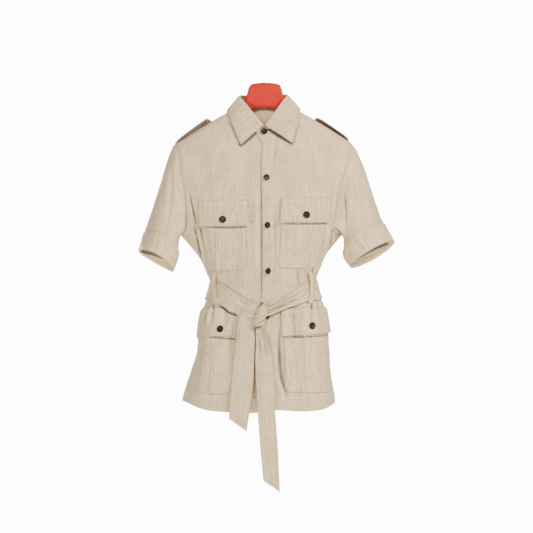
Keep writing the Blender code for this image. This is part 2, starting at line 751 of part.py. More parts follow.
def cloth_shell(linen):
    """Fronts, back and sleeves: cut along their seams, with shared normals there."""
    fronts = {
        "front_right": body(*np.moveaxis(front_places(-1, under_edge_x), -1, 0)),
        "front_left": body(*np.moveaxis(front_places(1, lap_edge_x), -1, 0)),
    }
    back = body(*np.moveaxis(back_places(), -1, 0))
    sleeves = {name: sleeve_grid(cut) for name, cut in SLEEVES.items()}
    pieces = [
        ("front_right", fronts["front_right"], -1, False, ("last", "top")),
        ("front_left", fronts["front_left"], 1, False, ("last", "top")),
        ("back", back, -1, False, ("first", "last", "top")),
        ("sleeve_right", sleeves["right"], -1, True, ("low",)),
        ("sleeve_left", sleeves["left"], 1, True, ("low",)),
    ]
    total = {}
    for _, points, sign, ring, _ in pieces:
        add_normals(total, points, sign, ring)
    for name, points, _, ring, seams in pieces:
        normals = shared_normals(total, points)
        shift = np.zeros(points.shape[:2])
        if name == "front_right":
            shift = UNDER_TUCK * ease_between(points[..., 0], UNDER_TUCK_FROM, UNDER_TUCK_TO)
        layers = []
        for half in (-CLOTH / 2, CLOTH / 2):
            layer = drawn_in(points + normals * (shift + half)[..., None], ring, seams)
            if ring:
                around = np.arange(0, 360, 180 / ROWS_ARMHOLE)
                angle = np.minimum(around, 360 - around)
                clear = UNDERARM_CLEAR * ease_between(
                    angle, UNDERARM_CLEAR_FROM, UNDERARM_CLEAR_TO)
                layer[0] += unit(points[1] - points[0]) * clear[:, None]
            layers.append(layer)
        wall(name, layers[0], layers[1], linen, ring)


def add_cuffs(linen):
    """Turn-ups that lie outside the sleeves' ends and flare at their tops."""
    around = np.arange(0, 360, 15)[None, :]
    top = CUFF_FROM_UPPER + (CUFF_FROM_UNDER - CUFF_FROM_UPPER) * (1 - np.cos(
        np.radians(around))) / 2
    share = np.linspace(0, 1, 3)[:, None]
    along = 1 + (top - 1) * share
    out = CUFF_LOW_OUT + (CUFF_TOP_OUT - CUFF_LOW_OUT) * share + np.zeros(around.shape)
    for name, cut in SLEEVES.items():
        inner = sleeve(cut, around, along, out - CLOTH / 2)
        outer = sleeve(cut, around, along, out + CLOTH / 2)
        wall("cuff_" + name, inner, outer, linen, ring=True)


# Collar

def collar_edge_points():
    """The free edge's points, one for each row of the collar's table."""
    points = []
    for row in COLLAR:
        if row.face == "ridge":
            point = body(places_at(row.edge_x, RIDGE)[0], RIDGE)
            points.append(point + np.array((0, 0, row.lift)))
            continue
        front = row.face == "front"
        if front:
            turn, height = spot(row.edge_x, row.edge_height, True)
        else:
            turn, height = places_at(row.edge_x, row.edge_height, False)
        points.append(body(turn, height, row.lift))
    return np.array(points)


Track = namedtuple("Track", "along x y z")


def track_at(track, along):
    """Points of a smooth line through a table's points."""
    return stack(smooth_at(track, "x", along), smooth_at(track, "y", along),
                 smooth_at(track, "z", along))


def collar_tracks():
    """The collar's fold and its free edge as smooth lines."""
    edges = collar_edge_points()
    fold = [Track(row.along, row.fold_x, row.fold_y, row.fold_z) for row in COLLAR]
    edge = [Track(row.along, *point) for row, point in zip(COLLAR, edges)]
    return fold, edge


def add_collar(linen):
    """The collar's leaf, folded over, and the stand inside it."""
    fold, edge = collar_tracks()
    along = np.linspace(0, 1, COLLAR_COLUMNS)[None, :]
    across = np.linspace(0, 1, 5)[:, None]
    lines = [track_at(track, along) for track in (fold, edge)]
    middle = lines[0] * (1 - across)[..., None] + lines[1] * across[..., None]
    run = np.gradient(middle, axis=1)
    cross = np.gradient(middle, axis=0)
    normal = unit(np.cross(run, cross))
    outside = middle * (1, 1, 0)
    normal *= np.sign(np.sum(normal * outside, axis=-1))[..., None]
    middle = middle + normal * (COLLAR_ROLL * 4 * across * (1 - across))[..., None]
    wall("collar_fall", middle - normal * CLOTH / 2, middle + normal * CLOTH / 2, linen)
    add_stand(linen, fold)


def neck_line(along):
    """The neck edge of the body, by the collar's run."""
    fold, _ = collar_tracks()
    x = smooth_at(fold, "x", along)
    widest = np.where(x < 0, abs(COLLAR[3].fold_x), COLLAR[7].fold_x)
    x = x / widest * NECK_HALF * 0.995
    front = (along < COLLAR[3].along) | (along > COLLAR[7].along)
    points = []
    for place_x, is_front in zip(x, front):
        height = neck_height(place_x, is_front)
        turn, height = places_at(place_x, height, is_front)
        points.append(body(turn, height))
    return np.array(points)


def add_stand(linen, fold):
    """The band between the neck edge and the collar's fold."""
    run = np.linspace(STAND_END, 1 - STAND_END, STAND_COLUMNS)
    top = track_at(fold, run)
    low = neck_line(run)
    inward = unit(np.stack((-top[:, 0], -top[:, 1], np.zeros(len(run))), axis=-1))
    top = top + inward * STAND_INSET - np.array((0, 0, STAND_DROP))
    up = unit(top - low)
    low = low + up * STAND_SEAM + inward * STAND_LOW_INSET
    share = np.linspace(0, 1, 3)[:, None, None]
    middle = low[None] * (1 - share) + top[None] * share
    normal = unit(np.cross(np.gradient(middle, axis=1), np.gradient(middle, axis=0)))
    normal *= np.sign(np.sum(normal * middle * (1, 1, 0), axis=-1))[..., None]
    wall("collar_stand", middle - normal * CLOTH / 2, middle + normal * CLOTH / 2, linen)


# What lies on the panels

def pleat_columns(half_in, half_out):
    """Distances across a pocket with a step at each side of its pleat."""
    flank = PLEAT_HALF + PLEAT_STEP
    inner = -np.linspace(half_in, flank, PLEAT_SIDE_COLUMNS + 1)
    outer = np.linspace(flank, half_out, PLEAT_SIDE_COLUMNS + 1)
    return np.concatenate((inner, (-PLEAT_HALF, 0, PLEAT_HALF), outer))


def places_on(shape, columns, share):
    """Turn and height grid of a patch whose middle line runs down the body."""
    x = shape.x_low + (shape.x_top - shape.x_low) * share
    z = shape.z_low + (shape.z_top - shape.z_low) * share
    turn, height = spot(x, z, True)
    side = np.sign(shape.x_top)
    level = np.broadcast_to(height[:, None], (len(share), len(columns)))
    turns = beside(np.broadcast_to(turn[:, None], level.shape), level, columns[None] * side)
    chest = z > UNDERARM
    across = level_surface(turns, level)[..., 0]
    chest_turns, chest_level = spot(across, np.broadcast_to(z[:, None], level.shape), True)
    return (np.where(chest[:, None], chest_turns, turns),
            np.where(chest[:, None], chest_level, level))


def add_pockets(linen):
    """Patch pockets, raised along the pleat."""
    share = np.linspace(0, 1, 8)
    for shape in POCKETS:
        columns = pleat_columns(shape.half_in, shape.half_out)
        turn, height = places_on(shape, columns, share)
        raised = np.where(np.abs(columns) <= PLEAT_HALF, PLEAT_OUT, POCKET_OUT)
        outer = np.broadcast_to(raised, turn.shape)
        wall(shape.name, body(turn, height, POCKET_IN), body(turn, height, outer), linen)


def add_flaps(linen):
    """Pocket flaps, sewn along their tops and standing off at their free edges."""
    share = np.array((0, 0.3, 0.6, 0.8, FLAP_SEWN, 1))
    for shape in FLAPS:
        columns = np.linspace(-shape.half_in, shape.half_out, 9)
        turn, height = places_on(shape, columns, share)
        sewn = np.where(share > FLAP_SEWN, POCKET_IN, FLAP_IN + FLAP_BOW * (1 - share) ** 3)
        inner = np.broadcast_to(sewn[:, None], turn.shape)
        wall(shape.name, body(turn, height, inner),
             body(turn, height, inner + (FLAP_OUT - FLAP_IN)), linen)


def add_button(button, dark):
    """A dished button with a rim, lying on the cloth at its place."""
    turn, height = spot(button.x, button.z, True)
    seat = body(turn, height, button.out)
    facing = unit(body(turn, height, button.out + 5) - seat)
    bm = bmesh.new()
    side = unit(np.cross((0, 0, 1), facing))
    up = np.cross(facing, side)
    rings = []
    for radius, depth in BUTTON_PROFILE:
        ring = []
        for step in range(BUTTON_SIDES):
            angle = 2 * np.pi * step / BUTTON_SIDES
            flat = (side * np.cos(angle) + up * np.sin(angle)) * radius * BUTTON_RADIUS
            ring.append(bm.verts.new(seat + flat + facing * depth * BUTTON_THICK))
        rings.append(ring)
    for low, high in zip(rings, rings[1:]):
        for step in range(BUTTON_SIDES):
            after = (step + 1) % BUTTON_SIDES
            bm.faces.new((low[step], low[after], high[after], high[step]))
    bm.faces.new(rings[0])
    bm.faces.new(rings[-1])
    make_object(button.name, bm, dark)


# Belt

def knot_middle_x(z):
    """X of the knot's middle line, which leans."""
    return KNOT_X + KNOT_LEAN * (z - KNOT_Z)


def knot_width(z):
    """Half width of the knot at a height."""
    tall = np.clip(np.abs(z - KNOT_Z) / KNOT_HALF_TALL, 0, 1)
    return KNOT_HALF_WIDE * np.sqrt(1 - tall ** 3)


def add_belt_band(linen):
    """The belt round the waist, from one side of the knot to the other."""
    share = np.linspace(0, 1, BELT_COLUMNS)[None, :]
    up = np.linspace(-1, 1, 4)[:, None]
    first, last = BELT[-1], BELT[0]
    ends = []
    for row, side in ((first, -1), (last, 1)):
        z = row.z + up[:, 0] * row.half
        x = knot_middle_x(z) + side * (knot_width(z) * (1 + KNOT_WRAP_DEPTH) + KNOT_CLEAR)
        turn, _ = spot(x, z, True)
        ends.append(turn if side < 0 else turn - 360)
    turn = ends[0][:, None] * (1 - share) + ends[1][:, None] * share
    middle = smooth_at(BELT, "z", turn)
    height = middle + up * smooth_at(BELT, "half", turn)
    out = smooth_at(BELT, "out", turn)
    wall("belt_band", body(turn, height, out - BELT_CLOTH / 2),
         body(turn, height, out + BELT_CLOTH / 2), linen)


def add_knot(linen):
    """The knot: a fat oval with shallow wraps."""
    turn, height = spot(KNOT_X, KNOT_Z, True)
    middle = body(turn, height, KNOT_OUT)
    bm = bmesh.new()
    bmesh.ops.create_uvsphere(bm, u_segments=16, v_segments=12, radius=1)
    for vert in bm.verts:
        x, y, z = vert.co
        plain = max(np.hypot(x, y), 1e-6)
        full = np.sqrt(max(1 - abs(z) ** 3, 0))
        wrap = 1 + KNOT_WRAP_DEPTH * np.cos(np.pi * KNOT_WRAPS * (z + 0.35 * x / plain))
        scale = full / plain * (wrap if full > 0 else 1)
        level = KNOT_Z + z * KNOT_HALF_TALL
        vert.co = (knot_middle_x(level) + x * scale * KNOT_HALF_WIDE,
                   middle[1] + y * scale * KNOT_HALF_DEEP, level)
    make_object("belt_knot", bm, linen)


def add_tail(name, table, linen):
    """A free end of the belt, which lies on the front and hangs below the hem."""
    along = np.linspace(0, 1, 17)[:, None]
    across = np.linspace(0, 1, 4)[None, :]
    x = smooth_at(table, "left_x", along) * (1 - across) + smooth_at(
        table, "right_x", along) * across
    z = smooth_at(table, "left_z", along) * (1 - across) + smooth_at(
        table, "right_z", along) * across
    out = smooth_at(table, "out", along) + 0 * across
    turn, height = spot(x, np.maximum(z, hem_height(0, True)), True)
    sheets = []
    for shift in (-BELT_CLOTH / 2, BELT_CLOTH / 2):
        points = body(turn, height, out + shift)
        points[..., 0] = x
        points[..., 2] = z
        sheets.append(points)
    wall(name, sheets[0], sheets[1], linen)


def add_loops(linen):
    """Strips of cloth that hold the belt at the sides."""
    rise = np.linspace(0, 1, 10)[:, None]
    across = np.linspace(-LOOP_HALF_WIDE, LOOP_HALF_WIDE, 3)[None, :]
    height = LOOP_LOW + (LOOP_TOP - LOOP_LOW) * rise + 0 * across
    bridge = np.abs(np.sin(np.pi * rise)) ** 0.2
    inner = LOOP_IN + (LOOP_OVER - LOOP_IN) * bridge + 0 * across
    for loop in LOOPS:
        turn, _ = spot(loop.x, height)
        turn = beside(turn, height, across)
        wall(loop.name, body(turn, height, inner), body(turn, height, inner + CLOTH), linen)


def add_tabs(linen):
    """Shoulder tabs, sewn in at the sleeve, their front edges bowing up from the shoulder."""
    along = np.linspace(0, 1, 13)[:, None]
    across = np.linspace(-1, 1, 5)[None, :]
    for tab in TABS:
        x = tab.x_tip + (tab.x_end - tab.x_tip) * along + 0 * across
        ridge = RIDGE - shoulder_fall(x, True)
        rise = along ** 0.75 * np.clip((1 - along) / TAB_DROP, 0, 1) ** 0.7
        bow = tab.bow * rise * (1 - across) / 2
        z = ridge + TAB_LIFT + bow - TAB_SAG * across ** 2
        point_width = 1 - 0.5 * np.clip((along - TAB_POINT) / (1 - TAB_POINT), 0, 1)
        y = across * TAB_HALF_WIDE * point_width
        middle = stack(x, y, z)
        up = unit(np.cross(np.gradient(middle, axis=0), np.gradient(middle, axis=1)))
        up *= np.sign(up[..., 2:])
        wall(tab.name, middle - up * BELT_CLOTH / 2, middle + up * BELT_CLOTH / 2, linen)


# Hanger

def add_hanger(red):
    """A broad-necked contoured hanger, bare of lettering."""
    mirrored = [Bar(-row.x, row.top, row.low, row.half) for row in reversed(HANGER[1:])]
    bm = bmesh.new()
    rings = []
    for row in mirrored + list(HANGER):
        middle = (row.top + row.low) / 2
        tall = (row.top - row.low) / 2
        ring = []
        for step in range(HANGER_SIDES):
            angle = 2 * np.pi * step / HANGER_SIDES
            across, up = np.cos(angle), np.sin(angle)
            size = (abs(across) ** HANGER_SQUARE + abs(up) ** HANGER_SQUARE) ** (1 / HANGER_SQUARE)
            ring.append(bm.verts.new((row.x, row.half * across / size, middle + tall * up / size)))
        rings.append(ring)
    for low, high in zip(rings, rings[1:]):
        for step in range(HANGER_SIDES):
            after = (step + 1) % HANGER_SIDES
            bm.faces.new((low[step], low[after], high[after], high[step]))
    bm.faces.new(rings[0])
    bm.faces.new(rings[-1])
    make_object("hanger", bm, red)


def make_material(name, color, roughness):
    """A plain finish."""
    material = bpy.data.materials.new(name)
    material.use_nodes = True
    shader = material.node_tree.nodes["Principled BSDF"]
    shader.inputs["Base Color"].default_value = (*color, 1)
    shader.inputs["Roughness"].default_value = roughness
    shader.inputs["Metallic"].default_value = 0
    return material


def main():
    """Clear the scene and make every piece."""
    for thing in list(bpy.data.objects):
        bpy.data.objects.remove(thing, do_unlink=True)
    linen = make_material("linen", (0.62, 0.53, 0.41), 0.9)
    dark = make_material("button_dark", (0.02, 0.02, 0.022), 0.35)
    red = make_material("hanger_red", (0.8, 0.1, 0.06), 0.45)
    cloth_shell(linen)
    add_cuffs(linen)
    add_collar(linen)
    add_pockets(linen)
    add_flaps(linen)
    for button in BUTTONS:
        add_button(button, dark)
    add_belt_band(linen)
    add_knot(linen)
    add_tail("belt_tail_short", TAIL_SHORT, linen)
    add_tail("belt_tail_long", TAIL_LONG, linen)
    add_loops(linen)
    add_tabs(linen)
    add_hanger(red)


main()
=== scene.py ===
from math import cos, pi, radians, sin
import bmesh
import bpy
import numpy as np
from mathutils import Matrix, Vector


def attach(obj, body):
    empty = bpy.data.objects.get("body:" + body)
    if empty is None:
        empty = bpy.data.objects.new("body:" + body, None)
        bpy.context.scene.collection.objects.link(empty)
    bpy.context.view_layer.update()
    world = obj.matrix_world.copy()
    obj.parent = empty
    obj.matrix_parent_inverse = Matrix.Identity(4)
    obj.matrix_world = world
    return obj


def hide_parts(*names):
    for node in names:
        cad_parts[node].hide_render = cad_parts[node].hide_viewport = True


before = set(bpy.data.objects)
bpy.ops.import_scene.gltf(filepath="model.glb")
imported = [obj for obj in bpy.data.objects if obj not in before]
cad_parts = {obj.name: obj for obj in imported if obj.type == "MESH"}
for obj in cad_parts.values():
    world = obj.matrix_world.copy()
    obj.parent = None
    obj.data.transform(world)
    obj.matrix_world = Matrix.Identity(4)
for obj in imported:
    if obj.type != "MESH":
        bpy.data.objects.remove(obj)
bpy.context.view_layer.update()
print("frame loaded")

# Sizes are millimetres, made metres in the meshes. X runs to the viewer's right, the front faces
# -Y, Z is up, and left and right in names are the wearer's.
mm = 0.001

cloth = {
    "thick": 1.1,              # one layer of linen
    "shadeFade": 0.2,          # how soon the painted shade runs out at its ends
    "rumple": 0.60,            # height of the small unevenness all over
    "sharpAbove": 50,          # degrees, for the edges of buttons and hanger
    "creaseGain": 1.4,         # how deep the creases of the body are made
    "creaseFade": 25,          # nearer than this to the side seams they run out
    "seamPinch": 0.9,          # seams lie this much deeper than the cloth beside them
    "seamPinchWidth": 4.0,
    "light": (0.862, 0.654, 0.380),
    "shade": (0.560, 0.396, 0.205),
    "fleck": (0.270, 0.182, 0.098),
    "threadColor": (0.66, 0.50, 0.28),
    # deep: the colour of painted shade, in hollows and creases, along seams, under edges and on the
    # belt's knot
    "deep": (0.072, 0.060, 0.048),
}


# ---- small helpers for tables and grids ----

def smoothAt(table, name, at):
    # one column of a table as a smooth curve over its first column
    rows = np.array(table["rows"], float)
    keys = rows[:, 0]
    values = rows[:, table["columns"].index(name)]
    slopes = np.gradient(values, keys)
    at = np.clip(np.asarray(at, float), keys[0], keys[-1])
    low = np.clip(np.searchsorted(keys, at) - 1, 0, len(keys) - 2)
    span = keys[low + 1] - keys[low]
    part = (at - keys[low]) / span
    bend = part * (1 - part) * ((1 - part) * slopes[low] - part * slopes[low + 1]) * span
    return values[low] + (values[low + 1] - values[low]) * part * part * (3 - 2 * part) + bend


def stacked(x, y, z):
    return np.stack(np.broadcast_arrays(x, y, z), axis=-1).astype(float)


def unit(vectors):
    return vectors / np.maximum(np.linalg.norm(vectors, axis=-1, keepdims=True), 1e-9)


def easeBetween(value, start, end):
    part = np.clip((value - start) / (end - start), 0, 1)
    return part * part * (3 - 2 * part)


# ---- the body's surface ----

bodyShape = {
    "columns": ("height", "left", "right", "front", "back", "square"),
    "rows": (
        (-800, 203, 171, 113, 109, 2.3), (-763, 199, 168, 111, 107, 2.3),
        (-695, 178, 158, 105, 101, 2.3), (-640, 163, 154.5, 99, 96, 2.3),
        (-600, 160.5, 152.5, 93, 91, 2.3), (-563, 155, 147, 87, 87, 2.3),
        (-533, 145, 140.5, 82, 83, 2.3), (-512, 137, 129.5, 78, 80, 2.3),
        (-484, 132.5, 124, 76, 78, 2.3), (-466, 138, 124.5, 78, 79, 2.3),
        (-449, 144, 132, 80, 80, 2.3), (-420, 158, 144, 83, 82, 2.35),
        (-392, 180, 164, 85, 83, 2.4), (-367, 201, 183, 87, 84, 2.4),
        (-330, 206, 191, 88, 84, 2.5), (-280, 211, 199, 86, 83, 2.7),
        (-220, 216, 207, 80, 79, 3.0), (-170, 220, 212, 71, 73, 3.6),
        (-130, 222, 214, 59, 65, 4.2), (-105, 223, 215, 48, 55, 4.6),
        (-85, 224, 216, 37, 43, 5.0), (-72, 224, 216, 28, 31, 5.0),
        (-64, 224, 216, 20, 21, 5.0), (-59.5, 224, 216, 11.5, 12, 5.0),
        (-57, 224, 216, 0, 0, 5.0),
    ),
    "ridge": -57, "underarm": -367, "slope": 0.62, "neckHalf": 70, "neckEase": 20,
    "neckRise": 30, "frontNeck": -113, "backNeck": -89, "hemMiddle": -780.0,
}
hemShape = {
    "columns": ("x", "front", "back"),
    "rows": ((-200, -765, -765), (-145, -785, -772), (-90, -791, -779), (-35, -793, -784),
             (28, -786, -783), (103, -789, -779), (150, -781, -773), (169, -770, -770)),
}
# Creases on each face: points down the line as (x, z), its width and its depth. Troughs are
# negative.
creases = {
    "front": (
        (((72, -520), (78, -610), (84, -700)), 17, -6.5),
        (((50, -620), (58, -690), (66, -760)), 14, 4), (((112, -545), (122, -790)), 20, 3),
        (((-78, -545), (-88, -700)), 17, -5), (((-120, -540), (-150, -790)), 20, 3.5),
        (((92, -380), (78, -500)), 16, -4), (((30, -350), (26, -500)), 16, 2.5),
        (((-70, -400), (-62, -500)), 16, -3.5), (((-30, -340), (-24, -500)), 16, 2.5),
        (((-120, -400), (-112, -500)), 15, 3),
        # long folds from the armhole down to the waist, viewer's left
        (((-181, -262), (-178.4, -282), (-171, -314), (-164.4, -342), (-158, -354)), 3.0, -2.6),
        (((-176, -300), (-173, -321), (-166.6, -358), (-161, -384), (-155, -414),
          (-148, -442)), 3.0, -2.4),
        (((-157, -342), (-153.6, -358), (-146, -392), (-138.5, -422), (-131, -451),
          (-124, -468)), 3.2, -2.8),
        (((-166, -340), (-160, -362), (-153, -390), (-147, -420), (-139, -450),
          (-130, -476)), 2.8, 2.8), (((-179, -296), (-172, -330), (-168, -350)), 2.2, 1.6),
        (((-186, -350), (-170, -392), (-148, -440), (-132, -478)), 5, 1.8),
        (((-140, -356), (-134, -396), (-124, -436), (-118, -464)), 6, -2.6),
        # beside the front edge and the placket
        (((-32, -270), (-30, -380), (-29, -480)), 6, -1.1),
        (((-19, -250), (-18, -380), (-17, -490)), 5, 1.2),
        (((30, -128), (24, -170), (20, -215)), 4.5, -1.2),
        (((18, -128), (15, -170), (13, -205)), 4.5, 0.8),
        (((25, -290), (24, -380), (23, -500)), 4.5, -1.5),
        (((44, -300), (46, -400), (48, -500)), 9, 1.8),
        # chest pocket on the viewer's right and the fold below it
        (((94, -350), (92, -420), (94, -470)), 10, -3.0),
        (((80, -452), (81, -472), (84, -496)), 4, -1.8),
        (((116, -440), (115, -458), (114, -478)), 3.5, -2.6),
        (((160, -340), (162, -362), (153, -402), (131, -446)), 4.5, -2.4),
        (((150, -345), (148, -390), (128, -448)), 7, 2.2),
        # soft hollows of the chest and shoulders
        (((-150, -150), (-140, -220), (-146, -290)), 16, -1.8),
        (((-88, -140), (-80, -200), (-84, -270)), 15, 1.5),
        (((70, -150), (64, -210), (60, -280)), 14, -1.5),
        (((140, -160), (132, -220), (134, -280)), 15, 1.6),
        (((-48, -180), (-44, -240), (-46, -310)), 12, -1.2),
        # gathers that the belt pinches, below and above it
        (((-128, -524), (-136, -552), (-146, -590)), 4.2, -2.6),
        (((-126, -524), (-122, -556), (-124, -592)), 4.2, -2.0),
        (((-130, -526), (-130, -556), (-134, -590)), 3.6, 2.6),
        (((-96, -528), (-94, -570), (-98, -610)), 7, -2.4),
        (((119, -517), (112, -540), (106, -575)), 4.0, -2.2),
        (((121, -517), (127, -540), (133, -580)), 4.0, -2.2),
        (((120, -520), (119, -548), (120, -584)), 4.2, 2.8),
        (((98, -530), (96, -560), (92, -600)), 6, 2.2),
        (((66, -536), (68, -580), (72, -620)), 7, -2.2),
        (((-104, -470), (-106, -440), (-104, -405)), 5, -1.8),
        # skirt between the long tail and the pocket
        (((33, -585), (35, -650), (40, -710), (58, -772)), 7, -2.8),
        (((24, -700), (36, -730), (50, -764)), 5, 2.6),
        (((96, -600), (98, -680), (100, -756)), 6, 2.0),
        (((-14, -600), (-16, -700), (-20, -780)), 7, -2.2),
        (((-160, -640), (-172, -720), (-186, -780)), 9, -2.6),
        (((-134, -700), (-140, -750)), 9, -1.6),
    ),
    "back": (
        (((-84, -400), (-60, -500)), 18, -5), (((-34, -380), (-24, -500)), 18, 3.5),
        (((30, -390), (22, -500)), 18, -4), (((82, -370), (62, -500)), 18, 4),
        (((-66, -510), (-92, -800)), 22, -6), (((-20, -515), (-26, -790)), 22, 4),
        (((34, -510), (46, -800)), 22, -6), (((84, -520), (112, -800)), 22, 5),
        (((-172, -290), (-158, -360), (-132, -440)), 5, -3.2),
        (((-160, -310), (-142, -390), (-122, -452)), 6, 2.4),
        (((164, -300), (152, -370), (126, -446)), 5, -3.2),
        (((150, -320), (138, -390), (116, -450)), 6, 2.4),
        (((-104, -440), (-98, -470), (-94, -494)), 4.5, -3.0),
        (((-58, -430), (-52, -465), (-48, -494)), 4.5, -2.6),
        (((-12, -440), (-8, -470), (-6, -494)), 4.5, -2.6),
        (((50, -430), (46, -465), (44, -494)), 4.5, -2.8),
        (((98, -436), (92, -468), (88, -494)), 4.5, -3.0),
        (((-108, -520), (-116, -560), (-122, -610)), 5, -3.4),
        (((-74, -520), (-76, -570), (-84, -640)), 5.5, 2.6),
        (((-40, -520), (-44, -570), (-46, -630)), 5, -3.0),
        (((6, -520), (6, -560), (10, -620)), 5, -2.6),
        (((62, -520), (66, -570), (74, -640)), 5.5, -3.0),
        (((104, -520), (110, -560), (120, -610)), 5, -3.2),
        (((-60, -110), (-56, -180), (-50, -260)), 20, -1.8),
        (((58, -110), (54, -190), (52, -270)), 20, -1.6),
        (((0, -120), (-4, -220), (2, -340)), 22, 1.6),
        (((-130, -150), (-124, -230), (-116, -320)), 18, 2.0),
        (((126, -150), (120, -230), (112, -310)), 18, 2.0),
    ),
}


def routeThrough(points, count):
    table = {"columns": ("share", "x", "z"),
             "rows": [(i, x, z) for i, (x, z) in enumerate(points)]}
    at = np.linspace(0, len(points) - 1, count)
    return np.stack((smoothAt(table, "x", at), smoothAt(table, "z", at)), axis=-1)


def creaseLift(x, z, route, width, depth, fade):
    # a soft ridge or trough along a route, fading out at both ends
    line = routeThrough(route, 3 * len(route))
    best = np.full(x.shape, 1e12)
    share = np.zeros(x.shape)
    for i in range(len(line) - 1):
        runX, runZ = line[i + 1] - line[i]
        part = np.clip(((x - line[i, 0]) * runX + (z - line[i, 1]) * runZ)
                       / (runX ** 2 + runZ ** 2), 0, 1)
        gap = (x - line[i, 0] - part * runX) ** 2 + (z - line[i, 1] - part * runZ) ** 2
        nearer = gap < best
        best = np.where(nearer, gap, best)
        share = np.where(nearer, (i + part) / (len(line) - 1), share)
    return depth * np.exp(-best / width ** 2) * np.sin(pi * np.clip(share, 0, 1) ** 0.85) ** fade


def creasesLift(points, front, table, fade=0.75):
    # what the lines of a table add, each on its own face
    lift = np.zeros(front.shape)
    for face, lines in table.items():
        side = front == (face == "front")
        if side.any():
            for route, width, depth in lines:
                lift += np.where(side, creaseLift(points[..., 0], points[..., 2], route, width,
                                                  depth, fade), 0)
    return lift


def rumpleAt(points):
    # small unevenness of worn linen: waves of many directions and lengths
    total = np.zeros(points.shape[:-1])
    for i in range(1, 12):
        turn = i * 2.39996
        length = 26 + 11.0 * i
        wave = (points[..., 0] * cos(turn) + points[..., 2] * sin(turn)
                + points[..., 1] * sin(turn * 1.7)) * 2 * pi / length
        total += np.sin(wave + 1.3 * i + 1.2 * np.sin(wave * 0.37 + i)) * (length / 90) ** 0.6
    return cloth["rumple"] * total / 3.3


def shoulderFall(x, front):
    past = np.abs(x) - bodyShape["neckHalf"]
    fall = bodyShape["slope"] * (np.sqrt(past ** 2 + bodyShape["neckEase"] ** 2) + past) / 2
    rise = bodyShape["neckRise"] * np.clip(1 - (x / bodyShape["neckHalf"]) ** 2, 0, 1) ** 1.5
    return fall - np.where(front, 0, rise)


def levelSurface(turn, height):
    height = np.minimum(height, bodyShape["ridge"])
    across = np.sin(np.radians(turn))
    ahead = np.cos(np.radians(turn))
    front = ahead >= 0
    square = smoothAt(bodyShape, "square", height)
    size = (np.abs(across) ** square + np.abs(ahead) ** square) ** (1 / square)
    half = np.where(across < 0, smoothAt(bodyShape, "left", height),
                    smoothAt(bodyShape, "right", height))
    deep = np.where(front, smoothAt(bodyShape, "front", height),
                    smoothAt(bodyShape, "back", height))
    x = half * across / size
    y = -np.maximum(deep, 0) * ahead / size
    share = np.clip((height - bodyShape["underarm"])
                    / (bodyShape["ridge"] - bodyShape["underarm"]), 0, 1)
    return stacked(x, y, height - share * shoulderFall(x, front))


def onBody(turn, height, out=0.0):
    # a place on the cloth with its creases, or on a layer that lies out from it
    turn, height, out = np.broadcast_arrays(
        np.asarray(turn, float), np.asarray(height, float), np.asarray(out, float))
    points = levelSurface(turn, height)
    roundIt = levelSurface(turn + 0.4, height) - levelSurface(turn - 0.4, height)
    upIt = levelSurface(turn, height + 1) - levelSurface(turn, height - 1)
    normal = unit(np.cross(roundIt, upIt))
    front = np.cos(np.radians(turn)) >= 0
    lift = creasesLift(points, front, creases)
    lift *= cloth["creaseGain"] * np.clip(np.abs(points[..., 1]) / cloth["creaseFade"], 0, 1)
    return points + normal * (lift + out + rumpleAt(points))[..., None]


def turnAt(x, height, front):
    half = np.where(x < 0, smoothAt(bodyShape, "left", height),
                    smoothAt(bodyShape, "right", height))
    square = smoothAt(bodyShape, "square", height)
    reach = np.clip((np.abs(x) / half) ** square, 0, 0.99999)
    turn = np.degrees(np.arctan((reach / (1 - reach)) ** (1 / square))) * np.where(x < 0, -1, 1)
    return turn if front else np.where(x < 0, -180, 180) - turn


def spotAt(x, z, front=True):
    # turn and height of the place that shows at x and z
    x, z = np.broadcast_arrays(np.asarray(x, float), np.asarray(z, float))
    share = shoulderFall(x, front) / (bodyShape["ridge"] - bodyShape["underarm"])
    height = np.where(z > bodyShape["underarm"],
                      (z - share * bodyShape["underarm"]) / (1 - share), z)
    height = np.minimum(height, bodyShape["ridge"])
    return turnAt(x, height, front), height


def beside(turn, height, distance):
    # turn of the place a distance round the body, along one level
    for _ in range(8):
        here = levelSurface(turn, height)
        ahead = levelSurface(turn + 0.5, height)
        turn = turn + distance / 16 / np.linalg.norm(ahead - here, axis=-1)
    return turn
